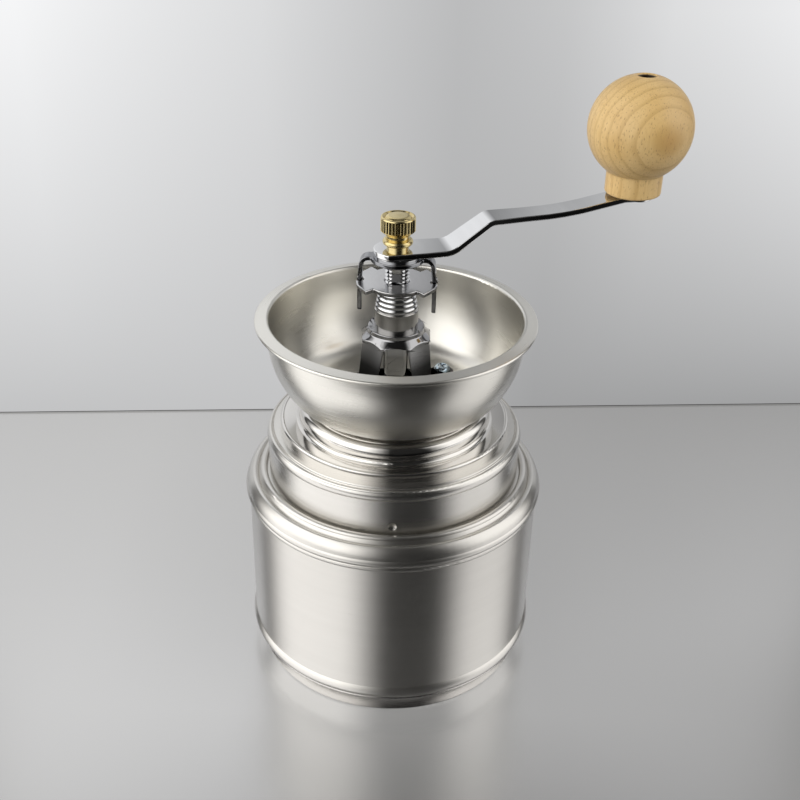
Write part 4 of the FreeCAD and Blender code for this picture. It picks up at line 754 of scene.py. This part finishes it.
def finish_piece(piece, node, finish):
    """Give a finer piece its finish and its body, and hide the solid that it stands for."""
    piece.data.materials.clear()
    piece.data.materials.append(finish)
    bpy.context.collection.objects.link(piece)
    body = next(name for name, nodes in frame["record"]["behaviour"]["bodies"].items() if node in nodes)
    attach(piece, body)
    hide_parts(node)
    return piece


def smooth_by_angle(mesh):
    """Smooth shading, apart from sharp edges."""
    mesh.polygons.foreach_set("use_smooth", [True] * len(mesh.polygons))
    mesh.set_sharp_from_angle(angle=SHARP)


print("edges sharper than", round(math.degrees(SHARP)), "degrees stay sharp")

# %% [markdown]
# Stamped and cast pieces have no knife edges. Chrome makes that visible: a rounded edge catches a light and
# draws a bright line. Each such piece is copied, its flat faces are joined again, and its sharp edges are
# rounded inward, so it keeps its size. Smooth shading would bend the flats too, so large faces lead the
# normals: the flat stays one even mirror, and only the edge turns.

# %% Pieces with rounded edges
MERGE_DISTANCE = 0.01 * MM
FLAT_LIMIT = math.radians(1.5)
EDGE_SEGMENTS = 3


def joined_faces(node):
    """A solid's surface with doubled corners merged and flat areas joined again."""
    surface = bmesh.new()
    surface.from_mesh(frame["nodes"][node].data)
    bmesh.ops.remove_doubles(surface, verts=surface.verts, dist=MERGE_DISTANCE)
    bmesh.ops.dissolve_limit(surface, angle_limit=FLAT_LIMIT, verts=surface.verts, edges=surface.edges)
    return surface


def with_level_flats(name, mesh):
    """The mesh with normals led by its large faces, so that flats mirror as flats."""
    carrier = bpy.data.objects.new(name, mesh)
    bpy.context.collection.objects.link(carrier)
    carrier.modifiers.new("level flats", "WEIGHTED_NORMAL").keep_sharp = True
    bpy.context.view_layer.update()
    levelled = bpy.data.meshes.new_from_object(carrier.evaluated_get(bpy.context.evaluated_depsgraph_get()))
    bpy.data.objects.remove(carrier)
    return levelled


def softened(node, finish, width):
    """A copy of a solid whose sharp edges are rounded by a width."""
    surface = joined_faces(node)
    sharp = [edge for edge in surface.edges if edge.is_manifold and abs(edge.calc_face_angle()) > SHARP]
    bmesh.ops.bevel(surface, geom=sharp, offset=width, segments=EDGE_SEGMENTS, profile=0.5, affect="EDGES",
                    clamp_overlap=False)
    mesh = bpy.data.meshes.new(f"soft_{node}")
    surface.to_mesh(mesh)
    surface.free()
    smooth_by_angle(mesh)
    piece = bpy.data.objects.new(f"soft_{node}", with_level_flats(f"soft_{node}", mesh))
    return finish_piece(piece, node, finish)


ROUNDED = [
    ("crank_arm", chrome, 0.40),
    ("adjusting_wheel", stamped_steel, 0.30),
    ("lock_bracket", nickel_with_painted_shade, 0.30),
    ("mill_housing", nickel, 0.50),
]
for node, finish, width in ROUNDED:
    print("rounded:", softened(node, finish, width * MM).name)

# %% [markdown]
# The spindle is the one long thread of the mill. Its surface is a grid: each row is a height, each column a
# step round the axis. The radius goes down and up once per pitch, shifted a little with every step round, and
# that makes the helix.

# %% Thread and grid
AROUND = 96
GROOVE_WIDTH = 1.35


def thread_dip(height, angle, pitch, depth):
    """How far a thread's groove goes below its crest at one height and angle."""
    phase = (height / pitch - angle / (2 * math.pi)) % 1.0
    return depth * min(1.0, GROOVE_WIDTH * (1 - abs(2 * phase - 1)))


def spun(name, rows, point):
    """A closed surface of rows, each with its height first; point gives the x and y of a row at an angle."""
    surface = bmesh.new()
    rings = []
    for row in rows:
        corners = []
        for step in range(AROUND):
            x, y = point(row, 2 * math.pi * step / AROUND)
            corners.append(surface.verts.new((x, y, row[0])))
        rings.append(corners)
    for lower, upper in zip(rings, rings[1:]):
        for step in range(AROUND):
            after = (step + 1) % AROUND
            surface.faces.new((lower[step], lower[after], upper[after], upper[step]))
    surface.faces.new(list(reversed(rings[0])))
    surface.faces.new(rings[-1])
    mesh = bpy.data.meshes.new(name)
    surface.to_mesh(mesh)
    surface.free()
    smooth_by_angle(mesh)
    return bpy.data.objects.new(name, mesh)


print("grid:", AROUND, "steps round")

# %% [markdown]
# The table gives the spindle in millimetres from the bottom up: the journal, the thread of the burr's nut,
# the seat of the burr, a collar, the long shank, the thread of the wheel, the seat of bracket and crank, and
# the thread of the cap nut. Two flats, in front and behind, run along the seats, the shank and the two upper
# threads, as on the real bar: they are what turns burr, bracket and crank with it.

# %% Threaded spindle
FLATS_TURN = math.radians(-4)
ROWS_PER_PITCH = 8
PLAIN_STEP = 4.0


def spread_heights(low, high, step):
    """Heights from low to high, about a step apart."""
    count = max(1, round((high - low) / step))
    return [low + (high - low) * n / count for n in range(count + 1)]


SPINDLE_SPANS = [
    # bottom, top, radius, half width over flats, thread pitch, thread depth
    (78.2, 78.6, 2.3, 9.0, 0, 0),
    (78.6, 83.6, 2.5, 9.0, 0, 0),
    (84.0, 88.0, 3.0, 9.0, 1.0, 0.45),
    (88.0, 99.0, 4.1, 3.1, 0, 0),
    (99.0, 100.5, 5.5, 9.0, 0, 0),
    (100.5, 135.2, 4.1, 3.1, 0, 0),
    (135.2, 151.4, 4.1, 3.1, 1.25, 0.62),
    (151.4, 152.1, 4.0, 3.1, 0, 0),
    (152.1, 155.8, 3.2, 2.6, 0, 0),
    (155.8, 165.0, 3.0, 2.6, 1.0, 0.45),
    (165.0, 165.2, 2.5, 2.5, 0, 0),
]
spindle_rows = []
for bottom, top, radius, flat, pitch, depth in SPINDLE_SPANS:
    for height in spread_heights(bottom, top, pitch / ROWS_PER_PITCH if pitch else PLAIN_STEP):
        spindle_rows.append((height * MM, radius * MM, flat * MM, pitch * MM, depth * MM))


def spindle_point(row, angle):
    """A point of the spindle's surface, thread and flats included."""
    height, radius, flat, pitch, depth = row
    if pitch:
        radius = radius - thread_dip(height, angle, pitch, depth)
    x = radius * math.cos(angle)
    y = max(-flat, min(flat, radius * math.sin(angle)))
    return (x * math.cos(FLATS_TURN) - y * math.sin(FLATS_TURN),
            x * math.sin(FLATS_TURN) + y * math.cos(FLATS_TURN))


finish_piece(spun("threaded_spindle", spindle_rows, spindle_point), "drive_spindle", chrome)
print("spindle rows:", len(spindle_rows))

# %% [markdown]
# The screws have a pan head with a cross recess. On the real head a pointed punch makes it. Here two blades
# that narrow downward cut it, one across the other.

# %% Cutter for a cross recess
BLADE_WIDE = 1.75 * MM
BLADE_THIN = 0.34 * MM
BLADE_DEEP = 1.5 * MM
BLADE_PROUD = 0.8 * MM
DEEP_SHARES = (0.35, 0.7)
PROUD_SHARES = (1.3, 1.2)


def blade_ring(blade, length_share, width_share, height):
    """The four corners of a blade at one height."""
    half = BLADE_WIDE * length_share
    thin = BLADE_THIN * width_share
    return [blade.verts.new((x, y, height)) for x, y in
            ((-half, -thin), (half, -thin), (half, thin), (-half, thin))]


def screw_blade(turn):
    """One blade of the cutter for a cross recess."""
    blade = bmesh.new()
    bottom = blade_ring(blade, *DEEP_SHARES, -BLADE_DEEP)
    top = blade_ring(blade, *PROUD_SHARES, BLADE_PROUD)
    blade.faces.new(list(reversed(bottom)))
    blade.faces.new(top)
    for side in range(4):
        after = (side + 1) % 4
        blade.faces.new((bottom[side], bottom[after], top[after], top[side]))
    bmesh.ops.rotate(blade, verts=blade.verts, cent=(0, 0, 0), matrix=Matrix.Rotation(turn, 3, "Z"))
    mesh = bpy.data.meshes.new("blade")
    blade.to_mesh(mesh)
    blade.free()
    return mesh


print("blade:", round(BLADE_DEEP / MM, 2), "mm deep")

# %% [markdown]
# The solid of both screws is copied, and the cross is cut into each head. The two heads sit in opposite
# corners of the pair's box, so the box and the radius of a head give their middles.

# %% Housing screws
HEAD_RADIUS = 2.95 * MM
CROSS_TURN = 0.35


def crossed_screws():
    """A copy of the two screws with a cross cut into each head."""
    source = frame["nodes"]["housing_screws"]
    mesh = source.data.copy()
    piece = bpy.data.objects.new("crossed_screws", mesh)
    bpy.context.collection.objects.link(piece)
    low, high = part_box("housing_screws")
    centres = [(high.x - HEAD_RADIUS, high.y - HEAD_RADIUS), (low.x + HEAD_RADIUS, low.y + HEAD_RADIUS)]
    cutters = []
    for x, y in centres:
        for turn in (CROSS_TURN, CROSS_TURN + math.pi / 2):
            cutter = bpy.data.objects.new("cutter", screw_blade(turn))
            cutter.matrix_world = Matrix.Translation((x, y, high.z))
            bpy.context.collection.objects.link(cutter)
            cutters.append(cutter)
            cross = piece.modifiers.new("cross", "BOOLEAN")
            cross.object = cutter
            cross.operation = "DIFFERENCE"
            cross.solver = "EXACT"
    bpy.context.view_layer.update()
    cut = bpy.data.meshes.new_from_object(piece.evaluated_get(bpy.context.evaluated_depsgraph_get()))
    bpy.data.objects.remove(piece)
    for cutter in cutters:
        bpy.data.objects.remove(cutter)
    smooth_by_angle(cut)
    return bpy.data.objects.new("crossed_screws", cut)


fine_screws = finish_piece(crossed_screws(), "housing_screws", zinc_plate)
print("screws:", len(fine_screws.data.polygons), "faces")
